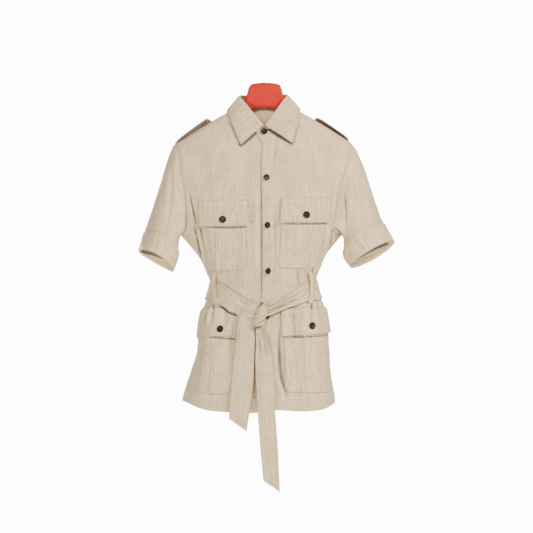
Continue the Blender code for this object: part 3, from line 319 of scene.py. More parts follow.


# ---- sheets of cloth ----

# Painted shade: narrow bands darkened in the cloth's colour where shade always falls, under edges
# and in gathers. For each piece and face the points down the line, its width and its strength.
shadeLines = {
    "chest_pocket_right": {"front": ((((-160, -345), (-98, -350), (-38, -348.5)), 2.4, 2.6),)},
    "chest_pocket_left": {"front": ((((38, -341), (97, -341), (157, -340)), 2.4, 2.2),)},
    "hip_pocket_right": {"front": ((((-186, -604), (-104, -614), (-30, -618)), 2.4, 2.2),)},
    "hip_pocket_left": {"front": ((((34, -612), (108, -610.5), (186, -604)), 2.4, 2.2),)},
    "hip_flap_right": {"front": (
        (((-107, -538), (-95, -546), (-87, -552), (-66, -561)), 2.4, 4.2),)},
    "hip_flap_left": {"front": ((((3, -564), (45, -548), (92, -527)), 2.0, 2.6),)},
    "belt_band": {"front": (
        (((1, -545), (40, -526), (99, -496)), 1.6, 1.7),
        (((4, -550), (45, -533), (99, -508)), 1.6, 2.0),
        (((1, -538), (24, -526), (50, -513)), 1.5, 1.4),
        (((2, -556), (24, -545), (52, -533)), 1.6, 1.8),
        (((-60, -524), (-44, -534), (-30, -545)), 1.6, 0.8),)},
    "belt_tail_short": {"front": (
        (((-22.5, -548), (-23.5, -575), (-24.5, -606)), 1.8, 2.4),
        (((-58, -552), (-67, -590), (-70, -630)), 1.5, 0.8),)},
    "belt_tail_long": {"front": (
        (((-18, -592), (-12, -622), (-6, -660)), 1.6, 1.5),
        (((-10, -591), (3, -622), (10, -654)), 1.8, 1.7),
        (((-14, -591), (-4, -616), (2, -640)), 1.5, 1.2),)},
    "front_left": {"front": (
        (((-4, -103), (30, -126), (67, -149)), 4.8, 4.8),
        (((67, -153), (74, -127), (82, -98)), 2.4, 1.6),
        (((191, -214), (176, -277), (167, -322), (161, -346)), 2.2, 1.2),
        (((33, -600), (31, -700), (34, -790)), 2.2, 0.5),
        (((3, -563.5), (45, -547.5), (92, -527)), 2.2, 3.0),
        (((160, -346), (168, -351), (182, -367)), 3.0, 3.2), (((92, -526), (140, -524)), 2.0, 1.0),
        (((-9, -160), (-8, -260), (-7.5, -420), (-7, -520)), 1.6, 0.7),)},
    "front_right": {"front": (
        (((-18, -117), (-40, -137), (-60, -155)), 4.6, 3.6),
        (((-59, -156), (-71, -128), (-83, -98)), 2.4, 1.6),
        (((-202, -214), (-192, -279), (-190.2, -322), (-191, -345)), 2.4, 1.2),
        (((-190.5, -316), (-191.5, -345), (-199, -367)), 3.0, 3.2),
        (((-108, -537), (-95, -546), (-87, -552), (-66, -561)), 2.4, 4.0),
        (((-10.5, -160), (-9.5, -260), (-9, -420), (-8.5, -520)), 2.0, 1.6),
        (((-26, -640), (-29, -720), (-34, -785)), 2.4, 2.0),)},
    "sleeve_left": {"front": (
        (((194, -262), (195, -330), (192, -392)), 1.6, 0.8),
        (((164, -350), (173, -354), (185, -369)), 2.4, 2.4),),
        "back": ((((203, -432), (251, -404), (300, -386)), 4.5, 4.0),)},
    "sleeve_right": {"front": ((((-228, -250), (-230, -310), (-238, -390)), 2.0, 0.5),),
        "back": ((((-300, -406), (-274, -411), (-240, -423)), 4.5, 4.0),)},
    # the hanger's painted shadow on the collar stand and the back of the neck
    "collar_stand": {"back": (
        (((-40, -73), (-20, -64), (0, -61), (20, -64), (40, -73)), 6.5, 4.4),)},
    "back": {"back": ((((-44, -80), (-34, -70), (0, -62), (34, -70), (44, -80)), 6.5, 3.0),)},
    # painted shade over the whole of both shoulder tabs, on both faces
    "epaulette_right": {"front": ((((-222, -146), (-176, -113), (-124, -82)), 13, 1.5),),
        "back": ((((-222, -146), (-176, -113), (-124, -82)), 13, 1.5),)},
    "epaulette_left": {"front": ((((207, -138), (164, -112), (114, -86)), 13, 1.3),),
        "back": ((((207, -138), (164, -112), (114, -86)), 13, 1.3),)},
    # painted shade just inside the cuff openings
    "cuff_left": {"back": ((((203, -432), (251, -404), (300, -386)), 4.5, 4.0),)},
    "cuff_right": {"back": ((((-300, -406), (-274, -411), (-240, -423)), 4.5, 4.0),)},
}


def blurred(grid, times, ring):
    # the grid smoothed over its neighbours, to tell hollows from ridges
    for _ in range(times):
        if ring:
            inner = grid[:, :-1]
            side = (np.roll(inner, 1, axis=1) + 2 * inner + np.roll(inner, -1, axis=1)) / 4
            grid = np.concatenate((side, side[:, :1]), axis=1)
        else:
            wide = np.concatenate((2 * grid[:, :1] - grid[:, 1:2], grid,
                                   2 * grid[:, -1:] - grid[:, -2:-1]), axis=1)
            grid = (wide[:, :-2] + 2 * wide[:, 1:-1] + wide[:, 2:]) / 4
        tall = np.concatenate((2 * grid[:1] - grid[1:2], grid, 2 * grid[-1:] - grid[-2:-1]))
        grid = (tall[:-2] + 2 * tall[1:-1] + tall[2:]) / 4
    return grid


def hollowAt(grid, ring):
    # how far the cloth lies behind its smoothed form, in millimetres, which sets its painted shade
    # and highlight
    soft = blurred(grid, 12, ring)
    normal = unit(np.cross(np.gradient(soft, axis=1), np.gradient(soft, axis=0)))
    away = soft - soft.mean(axis=1, keepdims=True) if ring else soft * (0.4, 1, 0)
    normal = normal * np.sign(np.sum(normal * away))
    return np.sum((soft - grid) * normal, axis=-1)


def clothLengths(grid):
    across = np.cumsum(np.linalg.norm(np.diff(grid, axis=1), axis=2), axis=1)
    along = np.cumsum(np.linalg.norm(np.diff(grid, axis=0), axis=2), axis=0)
    return (np.concatenate((np.zeros((len(grid), 1)), across), axis=1),
            np.concatenate((np.zeros((1, grid.shape[1])), along), axis=0))


def addMesh(name, bm, finishes, sharpAbove=None):
    # an object from finished geometry
    mesh = bpy.data.meshes.new(name)
    bm.to_mesh(mesh)
    bm.free()
    for finish in finishes:
        mesh.materials.append(finish)
    mesh.shade_smooth()
    if sharpAbove:
        mesh.set_sharp_from_angle(angle=radians(sharpAbove))
    piece = bpy.data.objects.new(name, mesh)
    bpy.context.collection.objects.link(piece)
    return piece


def sewnDistance(grid, sides):
    # distance from the named sides, for stitching and pinched seams
    u, v = clothLengths(grid)
    gaps = {"first": u, "last": u[:, -1:] - u, "low": v, "top": v[-1:] - v}
    return np.min([gaps[side] for side in sides], axis=0) if sides else np.full(u.shape, 99.0)


def cutArea(grid):
    crossed = np.cross(grid[1:, 1:] - grid[:-1, :-1], grid[:-1, 1:] - grid[1:, :-1])
    return np.linalg.norm(crossed, axis=-1).sum() / 2


def makeSheet(name, grid, finish, sewn=(), thick=None, ring=False, grainColumn=0,
              hemLine=None, lengthwise=False, shadedRows=None):
    rows, columns = grid.shape[:2]
    u, v = clothLengths(grid)
    # painted shade bands for this piece, kept to the first shadedRows rows when these are given
    shade = creasesLift(grid, grid[..., 1] < 0, shadeLines.get(name, {}), cloth["shadeFade"])
    if shadedRows:
        shade[shadedRows:] = 0
    # painted shading: darker in hollows, lighter on ridges, with the painted shade bands added
    paintedShading = hollowAt(grid, ring) + shade
    distance = sewnDistance(grid, sewn)
    if hemLine is not None:
        distance = np.where(v < hemLine + 6, np.abs(v - hemLine) + 5.0, distance)
    bm = bmesh.new()
    bmesh.ops.create_grid(bm, x_segments=columns - 1, y_segments=rows - 1, size=0.5)
    weave = bm.loops.layers.uv.new("weave")
    edge = bm.verts.layers.float.new("edge")
    deep = bm.verts.layers.float.new("paintedShading")
    cells = {}
    for vert in bm.verts:
        column = round((vert.co.x + 0.5) * (columns - 1))
        row = round((vert.co.y + 0.5) * (rows - 1))
        cells[vert] = (row, column)
    for face in bm.faces:
        for loop in face.loops:
            row, column = cells[loop.vert]
            place = ((u[row, column] - u[row, grainColumn]) * mm, v[row, column] * mm)
            loop[weave].uv = place[::-1] if lengthwise else place
    for vert, cell in cells.items():
        vert.co = Vector(grid[cell]) * mm
        vert[edge] = distance[cell]
        vert[deep] = paintedShading[cell]
    if ring:
        bmesh.ops.remove_doubles(bm, verts=bm.verts, dist=0.00002)
    piece = addMesh(name, bm, (finish,))
    wall = piece.modifiers.new("wall", "SOLIDIFY")
    wall.thickness = (thick or cloth["thick"]) * mm
    wall.offset = 0
    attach(piece, "root")
    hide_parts(name)
    width, length = u.max() * mm, v.max() * mm
    area = min(cutArea(grid) * mm * mm, width * length)
    print(f"{name}: cut {width * 100:.1f} x {length * 100:.1f} cm")
    return piece


# ---- shader maths ----

class Wire:
    # one socket of a material, with Python's operators as Math nodes
    def __init__(self, tree, socket):
        self.tree = tree
        self.socket = socket

    def node(self, kind, settings=None, inputs=None, output=0):
        made = self.tree.nodes.new(kind)
        for key, value in (settings or {}).items():
            if key == "stops":
                for i, (place, color) in enumerate(value):
                    stop = (made.color_ramp.elements[i] if i < 2
                            else made.color_ramp.elements.new(place))
                    stop.position = place
                    stop.color = (*color, 1)
            else:
                setattr(made, key, value)
        for key, value in (inputs or {}).items():
            if isinstance(value, Wire):
                self.tree.links.new(value.socket, made.inputs[key])
            else:
                made.inputs[key].default_value = value
        return Wire(self.tree, made.outputs[output])

    def math(self, operation, *values):
        return self.node("ShaderNodeMath", {"operation": operation}, dict(enumerate(values)))

    def __add__(self, other):
        return self.math("ADD", self, other)

    def __radd__(self, other):
        return self.math("ADD", other, self)

    def __sub__(self, other):
        return self.math("SUBTRACT", self, other)

    def __rsub__(self, other):
        return self.math("SUBTRACT", other, self)

    def __mul__(self, other):
        return self.math("MULTIPLY", self, other)

    def __rmul__(self, other):
        return self.math("MULTIPLY", other, self)

    def between(self, low, high):
        return self.node("ShaderNodeMapRange", {"interpolation_type": "SMOOTHSTEP"},
                         {"Value": self, "From Min": low, "From Max": high})

    def mixed(self, first, second):
        # self is the factor between two colours
        first = (*first, 1) if isinstance(first, tuple) else first
        second = (*second, 1) if isinstance(second, tuple) else second
        return self.node("ShaderNodeMix", {"data_type": "RGBA"}, {0: self, 6: first, 7: second}, 2)

    def noise(self, scale, detail, vector, roughness=0.5):
        return self.node("ShaderNodeTexNoise", {}, {"Vector": vector, "Scale": scale,
                         "Detail": detail, "Roughness": roughness})


def startMaterial(name, roughness):
    material = bpy.data.materials.new(name)
    material.use_nodes = True
    tree = material.node_tree
    shader = tree.nodes["Principled BSDF"]
    shader.inputs["Roughness"].default_value = roughness
    return material, tree, shader, Wire(tree, shader.outputs[0])


# ---- linen ----

linen = {
    # streaks of each kind in a metre across and along the cloth
    "slubWide": 430, "slubLong": 17, "meltWide": 560, "meltLong": 170,
    "crossWide": 26, "crossLong": 620, "patchWide": 24.2, "patchLong": 11, "threads": 1150,
    # how much each adds to the tone; ridgeHighlight is a painted highlight on ridges
    "slubTone": 1.7, "meltTone": 2.9, "crossTone": 0.8, "patchTone": 0.6, "ridgeHighlight": 0.22,
    # seamShade and the hollow values: strength and range of painted shade along seams and in
    # hollows
    "seamShade": 0.36, "hollowFrom": 0.05, "hollowTo": 2.1, "hollowShade": 0.9,
    "panelStitchAt": 5.0, "trimStitchAt": 3.6, "stitchHalf": 0.45, "stitchEvery": 330,
    "stitchDentShade": 0.26, "stitchShow": 0.55, "bump": 0.35, "bumpHeight": 0.0006, "sheen": 0.12,
}


def makeLinen(name, stitchAt, tint=0.0):
    material, tree, shader, start = startMaterial(name, 0.9)
    weave = start.node("ShaderNodeUVMap", {"uv_map": "weave"})
    split = start.node("ShaderNodeSeparateXYZ", {}, {0: weave})
    u = split
    v = Wire(tree, split.socket.node.outputs[1])

    def streak(wide, long, detail, roughness=0.55):
        # wide along u, long along v
        vector = start.node("ShaderNodeCombineXYZ", {}, {0: u * wide, 1: v * long, 2: tint * 9})
        return start.noise(1.0, detail, vector, roughness)

    slub = streak(linen["slubWide"], linen["slubLong"], 3)
    melange = streak(linen["meltWide"], linen["meltLong"], 4, 0.7)
    cross = streak(linen["crossWide"], linen["crossLong"], 2)
    patch = streak(linen["patchWide"], linen["patchLong"], 2)
    paintedShading = start.node("ShaderNodeAttribute", {"attribute_name": "paintedShading"}, {}, 2)
    # the streaks are the cloth's own tone; the last term is a painted highlight where the cloth
    # stands out as a ridge
    tone = ((slub - 0.5) * linen["slubTone"] + (melange - 0.5) * linen["meltTone"]
            + (cross - 0.5) * linen["crossTone"] + (patch - 0.5) * linen["patchTone"]
            + paintedShading.between(0.0, -0.8) * linen["ridgeHighlight"])
    base = (tone + 0.5).between(0.02, 0.98).mixed(cloth["shade"], cloth["light"])
    fleckMask = melange.between(0.30, 0.22) * 0.55 + slub.between(0.30, 0.20) * 0.35
    base = fleckMask.mixed(base, cloth["fleck"])
    edge = start.node("ShaderNodeAttribute", {"attribute_name": "edge"}, {}, 2)
    dash = start.math("SINE", (u + v) * linen["stitchEvery"] * 2 * pi)
    gap = start.math("ABSOLUTE", edge - stitchAt)
    thread = gap.between(linen["stitchHalf"] + 0.25, linen["stitchHalf"] - 0.2)
    threadOn = thread * dash.between(-0.55, 0.0)
    dent = gap.between(1.6, 0.2)
    # painted shade in the dent along each stitch line, in the cloth's darker tone
    base = (dent * linen["stitchDentShade"]).mixed(base, cloth["shade"])
    base = (threadOn * linen["stitchShow"]).mixed(base, cloth["threadColor"])
    # painted shade along seams, hems and sewn edges
    seam = edge.between(1.5, 0.1)
    base = (seam * linen["seamShade"]).mixed(base, cloth["deep"])
    # painted shade toward the deep colour, from hollows, creases and the painted shade bands
    inShade = paintedShading.between(linen["hollowFrom"], linen["hollowTo"])
    base = (inShade * linen["hollowShade"]).mixed(base, cloth["deep"])
    tree.links.new(base.socket, shader.inputs["Base Color"])
    warp = start.math("SINE", u * linen["threads"] * 2 * pi)
    weft = start.math("SINE", v * linen["threads"] * 2 * pi)
    height = (warp * weft * 0.10 + slub * 0.55 + melange * 0.35 + cross * 0.3 - dent * 0.8
              + threadOn * 0.6)
    bump = start.node("ShaderNodeBump", {}, {"Strength": linen["bump"],
                      "Distance": linen["bumpHeight"], "Height": height})
    tree.links.new(bump.socket, shader.inputs["Normal"])
    shader.inputs["Sheen Weight"].default_value = linen["sheen"]
    shader.inputs["Sheen Roughness"].default_value = 0.5
    shader.inputs["Specular IOR Level"].default_value = 0.2
    return material


linenPanel = makeLinen("linenPanel", linen["panelStitchAt"])
linenTrim = makeLinen("linenTrim", linen["trimStitchAt"], 0.4)
print("linen ready")


# ---- fronts and back ----

panels = {
    "rowsBelow": 150, "rowsArmhole": 84, "neckColumns": 32, "shoulderColumns": 70,
    "hemTurn": 36, "hemStep": 0.7, "underEdge": 20, "underTuck": -2.6,
    "underTuckFrom": -62, "underTuckTo": -30,
}
frontEdge = {
    "columns": ("height", "x"),
    "rows": ((-800, -19), (-540, -11), (-470, -7), (-300, -7.5), (-180, -9), (-160, -8.2),
             (-149, -7), (-137, -13), (-126, -19), (-115, -22), (-105, -23)),
}
armholes = {
    "right": {"columns": ("around", "x", "z"),
              "rows": ((0, -218, -146), (17, -209, -167), (48, -202, -214), (87, -192, -279),
                       (115, -190.2, -322), (132, -191, -345), (148, -194, -358),
                       (165, -197.5, -364.5), (180, -201, -367))},
    "left": {"columns": ("around", "x", "z"),
             "rows": ((0, 203, -136), (17, 205, -167), (48, 191, -212), (87, 176, -277),
                      (115, 167, -322), (132, 161, -348), (148, 168, -358),
                      (165, 179.5, -364.5), (180, 183, -367))},
}


def placesAt(x, height, front):
    turn = turnAt(x, height, front)
    return np.stack((turn, np.broadcast_to(height, turn.shape)), axis=-1)


def armholePlaces(table, front):
    around = np.linspace(180, 0, panels["rowsArmhole"] + 1)
    turn, height = spotAt(smoothAt(table, "x", around), smoothAt(table, "z", around), front)
    turn[0] = 90 * np.sign(table["rows"][0][1])
    height[0] = bodyShape["underarm"]
    height[-1] = bodyShape["ridge"]
    return np.stack((turn, height), axis=-1)


def neckHeight(x, front):
    depth = bodyShape["ridge"] - bodyShape["frontNeck" if front else "backNeck"]
    return bodyShape["ridge"] - depth * np.clip(1 - (x / bodyShape["neckHalf"]) ** 2, 0, 1) ** 0.6


def patchBetween(low, top, first, last):
    across = np.linspace(0, 1, low.shape[0])[None, :, None]
    up = np.linspace(0, 1, first.shape[0])[:, None, None]
    sides = first[:, None] * (1 - across) + last[:, None] * across
    ends = low[None] * (1 - up) + top[None] * up
    corners = ((low[0] * (1 - across) + low[-1] * across) * (1 - up)
               + (top[0] * (1 - across) + top[-1] * across) * up)
    return sides + ends - corners


def rowsBelow(low, high):
    up = np.linspace(0, 1, panels["rowsBelow"] + 1)[:, None, None]
    return low[None] * (1 - up) + high[None] * up


def frontPlaces(side, edgeX):
    table = armholes["right" if side < 0 else "left"]
    arm = armholePlaces(table, True)
    count = panels["neckColumns"] + panels["shoulderColumns"]
    share = np.linspace(0, 1, count + 1)
    edgeTop = edgeX(bodyShape["frontNeck"])
    neckX = edgeTop + (side * bodyShape["neckHalf"] - edgeTop) * np.sin(
        np.linspace(0, pi / 2, panels["neckColumns"] + 1))
    shoulderX = np.linspace(side * bodyShape["neckHalf"], table["rows"][0][1],
                            panels["shoulderColumns"] + 1)[1:]
    level = np.full(len(shoulderX), bodyShape["ridge"], float)
    top = np.concatenate((placesAt(neckX, neckHeight(neckX, True), True),
                          placesAt(shoulderX, level, True)))
    top[-1] = arm[-1]
    heights = bodyShape["underarm"] + (top[0][1] - bodyShape["underarm"]) * np.linspace(
        0, 1, panels["rowsArmhole"] + 1)
    first = placesAt(edgeX(heights), heights, True)
    first[-1] = top[0]
    start = first[0][0]
    low = np.stack((start + (90 * side - start) * share,
                    np.full(count + 1, bodyShape["underarm"], float)), axis=-1)
    upper = patchBetween(low, top, first, arm)
    hemX = levelSurface(low[:, 0], np.full(count + 1, bodyShape["hemMiddle"]))[:, 0]
    hem = np.stack((low[:, 0], smoothAt(hemShape, "front", hemX)), axis=-1)
    below = rowsBelow(hem, low)
    lines = placesAt(edgeX(below[:, 0, 1]), below[:, 0, 1], True)[:, 0]
    below[:, :, 0] += (lines - below[:, 0, 0])[:, None] * ((1 - share) ** 2)[None]
    return np.concatenate((below[:-1], upper))


def backPlaces():
    half = panels["neckColumns"] + panels["shoulderColumns"]
    neckShare = np.sin(np.linspace(0, pi / 2, panels["neckColumns"] + 1))
    parts = []
    arms = []
    for side, name in ((-1, "right"), (1, "left")):
        table = armholes[name]
        neckX = side * bodyShape["neckHalf"] * neckShare
        neckX[0] = side * 1e-6
        shoulderX = np.linspace(side * bodyShape["neckHalf"], table["rows"][0][1],
                                panels["shoulderColumns"] + 1)[1:]
        arm = armholePlaces(table, False)
        level = np.full(len(shoulderX), bodyShape["ridge"], float)
        places = np.concatenate((placesAt(neckX, neckHeight(neckX, False), False),
                                 placesAt(shoulderX, level, False)))
        places[-1] = arm[-1]
        parts.append(places)
        arms.append(arm)
    left, right = parts
    right[:, 0] -= 360
    arms[1][:, 0] -= 360
    top = np.concatenate((left[::-1], right[1:]))
    low = np.stack((np.linspace(-90, -270, 2 * half + 1),
                    np.full(2 * half + 1, bodyShape["underarm"], float)), axis=-1)
    hemX = levelSurface(low[:, 0], np.full(2 * half + 1, bodyShape["hemMiddle"]))[:, 0]
    hem = np.stack((low[:, 0], smoothAt(hemShape, "back", hemX)), axis=-1)
    return np.concatenate((rowsBelow(hem, low)[:-1], patchBetween(low, top, arms[0], arms[1])))


def pinchAt(distance):
    return -cloth["seamPinch"] * np.exp(-(distance / cloth["seamPinchWidth"]) ** 2)


def makePanel(name, places, seams, grainColumn, tuck=None):
    turn, height = places[..., 0], places[..., 1]
    plain = levelSurface(turn, height)
    out = pinchAt(sewnDistance(plain, seams))
    _, v = clothLengths(plain)
    out = out + panels["hemStep"] * easeBetween(v, panels["hemTurn"] + 0.5, panels["hemTurn"] - 2.5)
    if tuck is not None:
        out = out + tuck(plain[..., 0])
    makeSheet(name, onBody(turn, height, out), linenPanel, sewn=seams, grainColumn=grainColumn,
              hemLine=panels["hemTurn"])


def upperEdge(height):
    return smoothAt(frontEdge, "x", height)


def lowerEdge(height):
    return np.full(np.shape(height), float(panels["underEdge"]))


makePanel("front_left", frontPlaces(1, upperEdge), ("first", "last", "top"), 0)
makePanel("front_right", frontPlaces(-1, lowerEdge), ("last", "top"), 0,
          lambda x: panels["underTuck"] * easeBetween(x, panels["underTuckFrom"],
                                                      panels["underTuckTo"]))
makePanel("back", backPlaces(), ("first", "last", "top"),
          panels["neckColumns"] + panels["shoulderColumns"])
print("panels ready")


# ---- sleeves and their turn-ups ----

sleeves = {
    "right": {
        "columns": ("along", "upperX", "upperZ", "underX", "underZ", "front", "back"),
        "rows": ((0.0, -218, -148, -201, -367, 58, 58), (0.06, -223, -158, -206.5, -370, 60, 60),
                 (0.14, -230, -175, -208.5, -377, 62, 62), (0.3, -243, -217, -209, -390, 64, 64),
                 (0.55, -264, -286, -210, -409, 65, 65), (0.8, -286, -352, -214, -431, 65, 65),
                 (1.0, -303, -405, -223, -453, 66, 66)),
        "lean": (17, 5),
        "creases": {
            "front": (
                (((-226, -176), (-224, -240), (-226, -300), (-232, -350)), 5.5, -3.4),
                (((-216, -230), (-206, -300), (-206, -360)), 9, 2.6),
                (((-226, -190), (-226, -260), (-228, -310), (-238, -385)), 9, -3.2),
                (((-246, -250), (-256, -320), (-272, -390)), 10, 2.4),
                (((-214, -380), (-232, -400), (-252, -414)), 6, -1.8),
            ),
            "back": (
                (((-200, -240), (-196, -300), (-204, -360)), 6, -3.4),
                (((-226, -200), (-232, -290), (-246, -380)), 10, -2.8),
                (((-250, -260), (-262, -340), (-274, -400)), 10, 2.4),
            ),
        },
    },
    "left": {
        "columns": ("along", "upperX", "upperZ", "underX", "underZ", "front", "back"),
        "rows": ((0.0, 203, -141, 183, -367, 58, 58), (0.06, 212, -151, 188.5, -370, 60, 60),
                 (0.14, 222, -168, 190.5, -377, 62, 62), (0.3, 238, -209, 191, -388, 64, 64),
                 (0.55, 259, -270, 191, -404, 65, 65), (0.8, 281, -331, 193, -421, 65, 65),
                 (1.0, 309, -381, 205, -442, 66, 66)),
        "lean": (11, 14),
        "creases": {
            "front": (
                (((190, -258), (193, -300), (195, -334), (191, -396)), 3.2, -2.4),
                (((212, -190), (213, -240), (214, -300)), 5, -2.2),
                (((212, -230), (202, -300), (200, -360)), 9, 2.6),
                (((226, -190), (230, -260), (236, -330), (246, -390)), 9, -2.8),
                (((250, -250), (262, -310), (280, -370)), 10, 2.2),
                (((206, -370), (226, -392), (250, -404)), 6, -1.8),
            ),
            "back": (
                (((196, -240), (190, -300), (192, -360)), 6, -3.2),
                (((226, -200), (234, -290), (250, -380)), 10, -2.8),
                (((254, -260), (266, -330), (282, -385)), 10, 2.4),
            ),
        },
    },
    "seamReach": 0.36, "push": 13, "pushAround": 143, "pushWidth": 28, "pushAlong": 0.12,
    "creaseFrom": 0.04, "rows": 84, "insideRows": 6,
    "cuffUpper": 0.84, "cuffUnder": 0.56, "cuffLow": 1.3, "cuffTop": 2.9,
}


def seamPoints(table, around):
    around = np.asarray(around, float) % 360
    front = around <= 180
    angle = np.where(front, around, 360 - around)
    x = smoothAt(table, "x", angle)
    z = smoothAt(table, "z", angle)
    turnFront, heightFront = spotAt(x, z, True)
    turnBack, heightBack = spotAt(x, z, False)
    turn = np.where(front, turnFront, turnBack)
    height = np.where(front, heightFront, heightBack)
    height = np.where(angle < 0.01, bodyShape["ridge"], height)
    turn = np.where(angle > 179.99, 90 * np.sign(x), turn)
    height = np.where(angle > 179.99, bodyShape["underarm"], height)
    return onBody(turn, height, -cloth["seamPinch"])


def plainSleeve(rows, around, along):
    upper = stacked(smoothAt(rows, "upperX", along), 0, smoothAt(rows, "upperZ", along))
    under = stacked(smoothAt(rows, "underX", along), 0, smoothAt(rows, "underZ", along))
    angle = np.radians(around)
    arm = (upper - under) / 2
    points = (upper + under) / 2 + arm * np.cos(angle)[..., None]
    ahead = np.sin(angle) > 0
    points[..., 1] -= np.sin(angle) * np.where(ahead, smoothAt(rows, "front", along),
                                               smoothAt(rows, "back", along))
    side = np.sign(rows["rows"][0][1])
    down = unit(stacked(-arm[..., 2] * side, 0, arm[..., 0] * side))
    down = np.where(down[..., 2:] > 0, -down, down)
    rise, drop = rows["lean"]
    shift = np.where(ahead, -rise, drop) * np.abs(np.sin(angle))
    return points + down * (shift * np.asarray(along) ** 2)[..., None]


def sleeveSurface(name, around, along):
    rows = sleeves[name]
    around, along = np.broadcast_arrays(np.asarray(around, float), np.asarray(along, float))
    tube = plainSleeve(rows, around, along)
    start = plainSleeve(rows, around, np.zeros(along.shape))
    fade = np.clip(1 - along / sleeves["seamReach"], 0, 1) ** 2
    points = tube + (seamPoints(armholes[name], around) - start) * fade[..., None]
    turned = around % 360
    angle = np.where(turned <= 180, turned, 360 - turned)
    beneath = np.exp(-((angle - sleeves["pushAround"]) / sleeves["pushWidth"]) ** 2)
    grown = along / sleeves["pushAlong"] * np.exp(1 - along / sleeves["pushAlong"])
    points[..., 1] -= sleeves["push"] * grown * beneath * np.sign(np.sin(np.radians(around)))
    return points


def onSleeve(name, around, along, out=0.0):
    around, along = np.broadcast_arrays(np.asarray(around, float), np.asarray(along, float))
    points = sleeveSurface(name, around, along)
    roundIt = sleeveSurface(name, around + 2, along) - sleeveSurface(name, around - 2, along)
    downIt = (sleeveSurface(name, around, np.minimum(along + 0.02, 1))
              - sleeveSurface(name, around, np.maximum(along - 0.02, 0)))
    normal = unit(np.cross(roundIt, downIt)) * np.sign(sleeves[name]["rows"][0][1])
    ahead = np.sin(np.radians(around)) >= 0
    lift = creasesLift(points, ahead, sleeves[name]["creases"])
    lift *= np.abs(np.sin(np.radians(around))) * np.clip(along / sleeves["creaseFrom"], 0, 1)
    lift += (rumpleAt(points) * 1.2 - pinchAt(0)) * easeBetween(along, 0, 0.03) + pinchAt(0)
    lift -= pinchAt(0)
    return points + normal * (lift + np.asarray(out))[..., None]


def makeSleeve(name):
    around = np.linspace(0, 360, 2 * panels["rowsArmhole"] + 1)[None, :]
    along = np.linspace(0, 1, sleeves["rows"])[:, None] ** 1.15
    makeSheet("sleeve_" + name, onSleeve(name, around, along), linenPanel, sewn=("low",), ring=True)
    top = sleeves["cuffUpper"] + (sleeves["cuffUnder"] - sleeves["cuffUpper"]) * (
        1 - np.cos(np.radians(around))) / 2
    # from inside the opening, round its edge and up the outside
    inside = sleeves["insideRows"]
    rise = np.concatenate((np.linspace(-0.3, 0, inside + 1)[:-1], np.linspace(0, 1, 22)))[:, None]
    outside = np.clip(rise, 0, 1)
    place = 1 + (top - 1) * np.abs(rise) * np.where(rise < 0, 0.35, 1)
    out = np.where(rise < 0, -1.3 + 2.6 * easeBetween(rise, -0.1, 0),
                   sleeves["cuffLow"] + (sleeves["cuffTop"] - sleeves["cuffLow"]) * outside)
    grid = onSleeve(name, around, np.minimum(place, 1), out + 0 * around)
    turnAtEdge = np.exp(-(rise / 0.05) ** 2)
    middle = grid[inside:inside + 1]
    before = onSleeve(name, around, np.full(around.shape, 0.97), sleeves["cuffLow"])
    grid = grid + unit(middle - before) * (turnAtEdge * 1.6)[..., None]
    makeSheet("cuff_" + name, grid, linenTrim, ring=True,
              shadedRows=inside)


makeSleeve("right")
makeSleeve("left")
print("sleeves ready")


# ---- collar ----

collar = {
    "columns": ("along", "foldX", "foldY", "foldZ", "edgeX", "edgeHeight", "face", "lift"),
    "rows": ((0.00, -5, -56, -105, -57.5, -153, 0, 3.0), (0.12, -27, -46, -79, -70, -124, 0, 3.0),
             (0.24, -48, -29, -52, -82, -93, 0, 3.0), (0.34, -63, -4, -33, -92, -57, 1, 5.0),
             (0.42, -48, 34, -31, -78, -86, 2, 6.5), (0.50, -4, 52, -33, -4, -112, 2, 6.5),
             (0.58, 40, 34, -30, 71, -86, 2, 6.5), (0.66, 55, -4, -30, 85, -57, 1, 5.0),
             (0.76, 42, -29, -49, 79, -92, 0, 3.0), (0.88, 23, -46, -76, 72, -122, 0, 3.0),
             (1.00, 1.5, -57, -106, 65, -149, 0, 3.0)),
    "roll": 3.5, "sideRoll": 0.6, "foldRadius": 1.9, "thick": 1.7,
    "columnCount": 150, "rowCount": 26,
    "standInset": 2.3, "standDrop": 1.2, "standThick": 1.4,
}


def collarTracks():
    points = []
    for along, _, _, _, edgeX, edgeHeight, face, lift in collar["rows"]:
        if face == 1:
            turn = turnAt(np.array(float(edgeX)), float(bodyShape["ridge"]), True)
            point = onBody(turn, bodyShape["ridge"]) + np.array((0, 0, lift))
        elif face == 0:
            turn, height = spotAt(edgeX, edgeHeight, True)
            point = onBody(turn, height, lift + 1.2)
        else:
            turn = turnAt(np.array(float(edgeX)), float(edgeHeight), False)
            point = onBody(turn, edgeHeight, lift)
        points.append((along, *np.ravel(point)))
    fold = {"columns": ("along", "x", "y", "z"), "rows": [row[:4] for row in collar["rows"]]}
    edge = {"columns": ("along", "x", "y", "z"), "rows": points}
    return fold, edge


def trackAt(track, along):
    return stacked(*(smoothAt(track, axis, along) for axis in "xyz"))


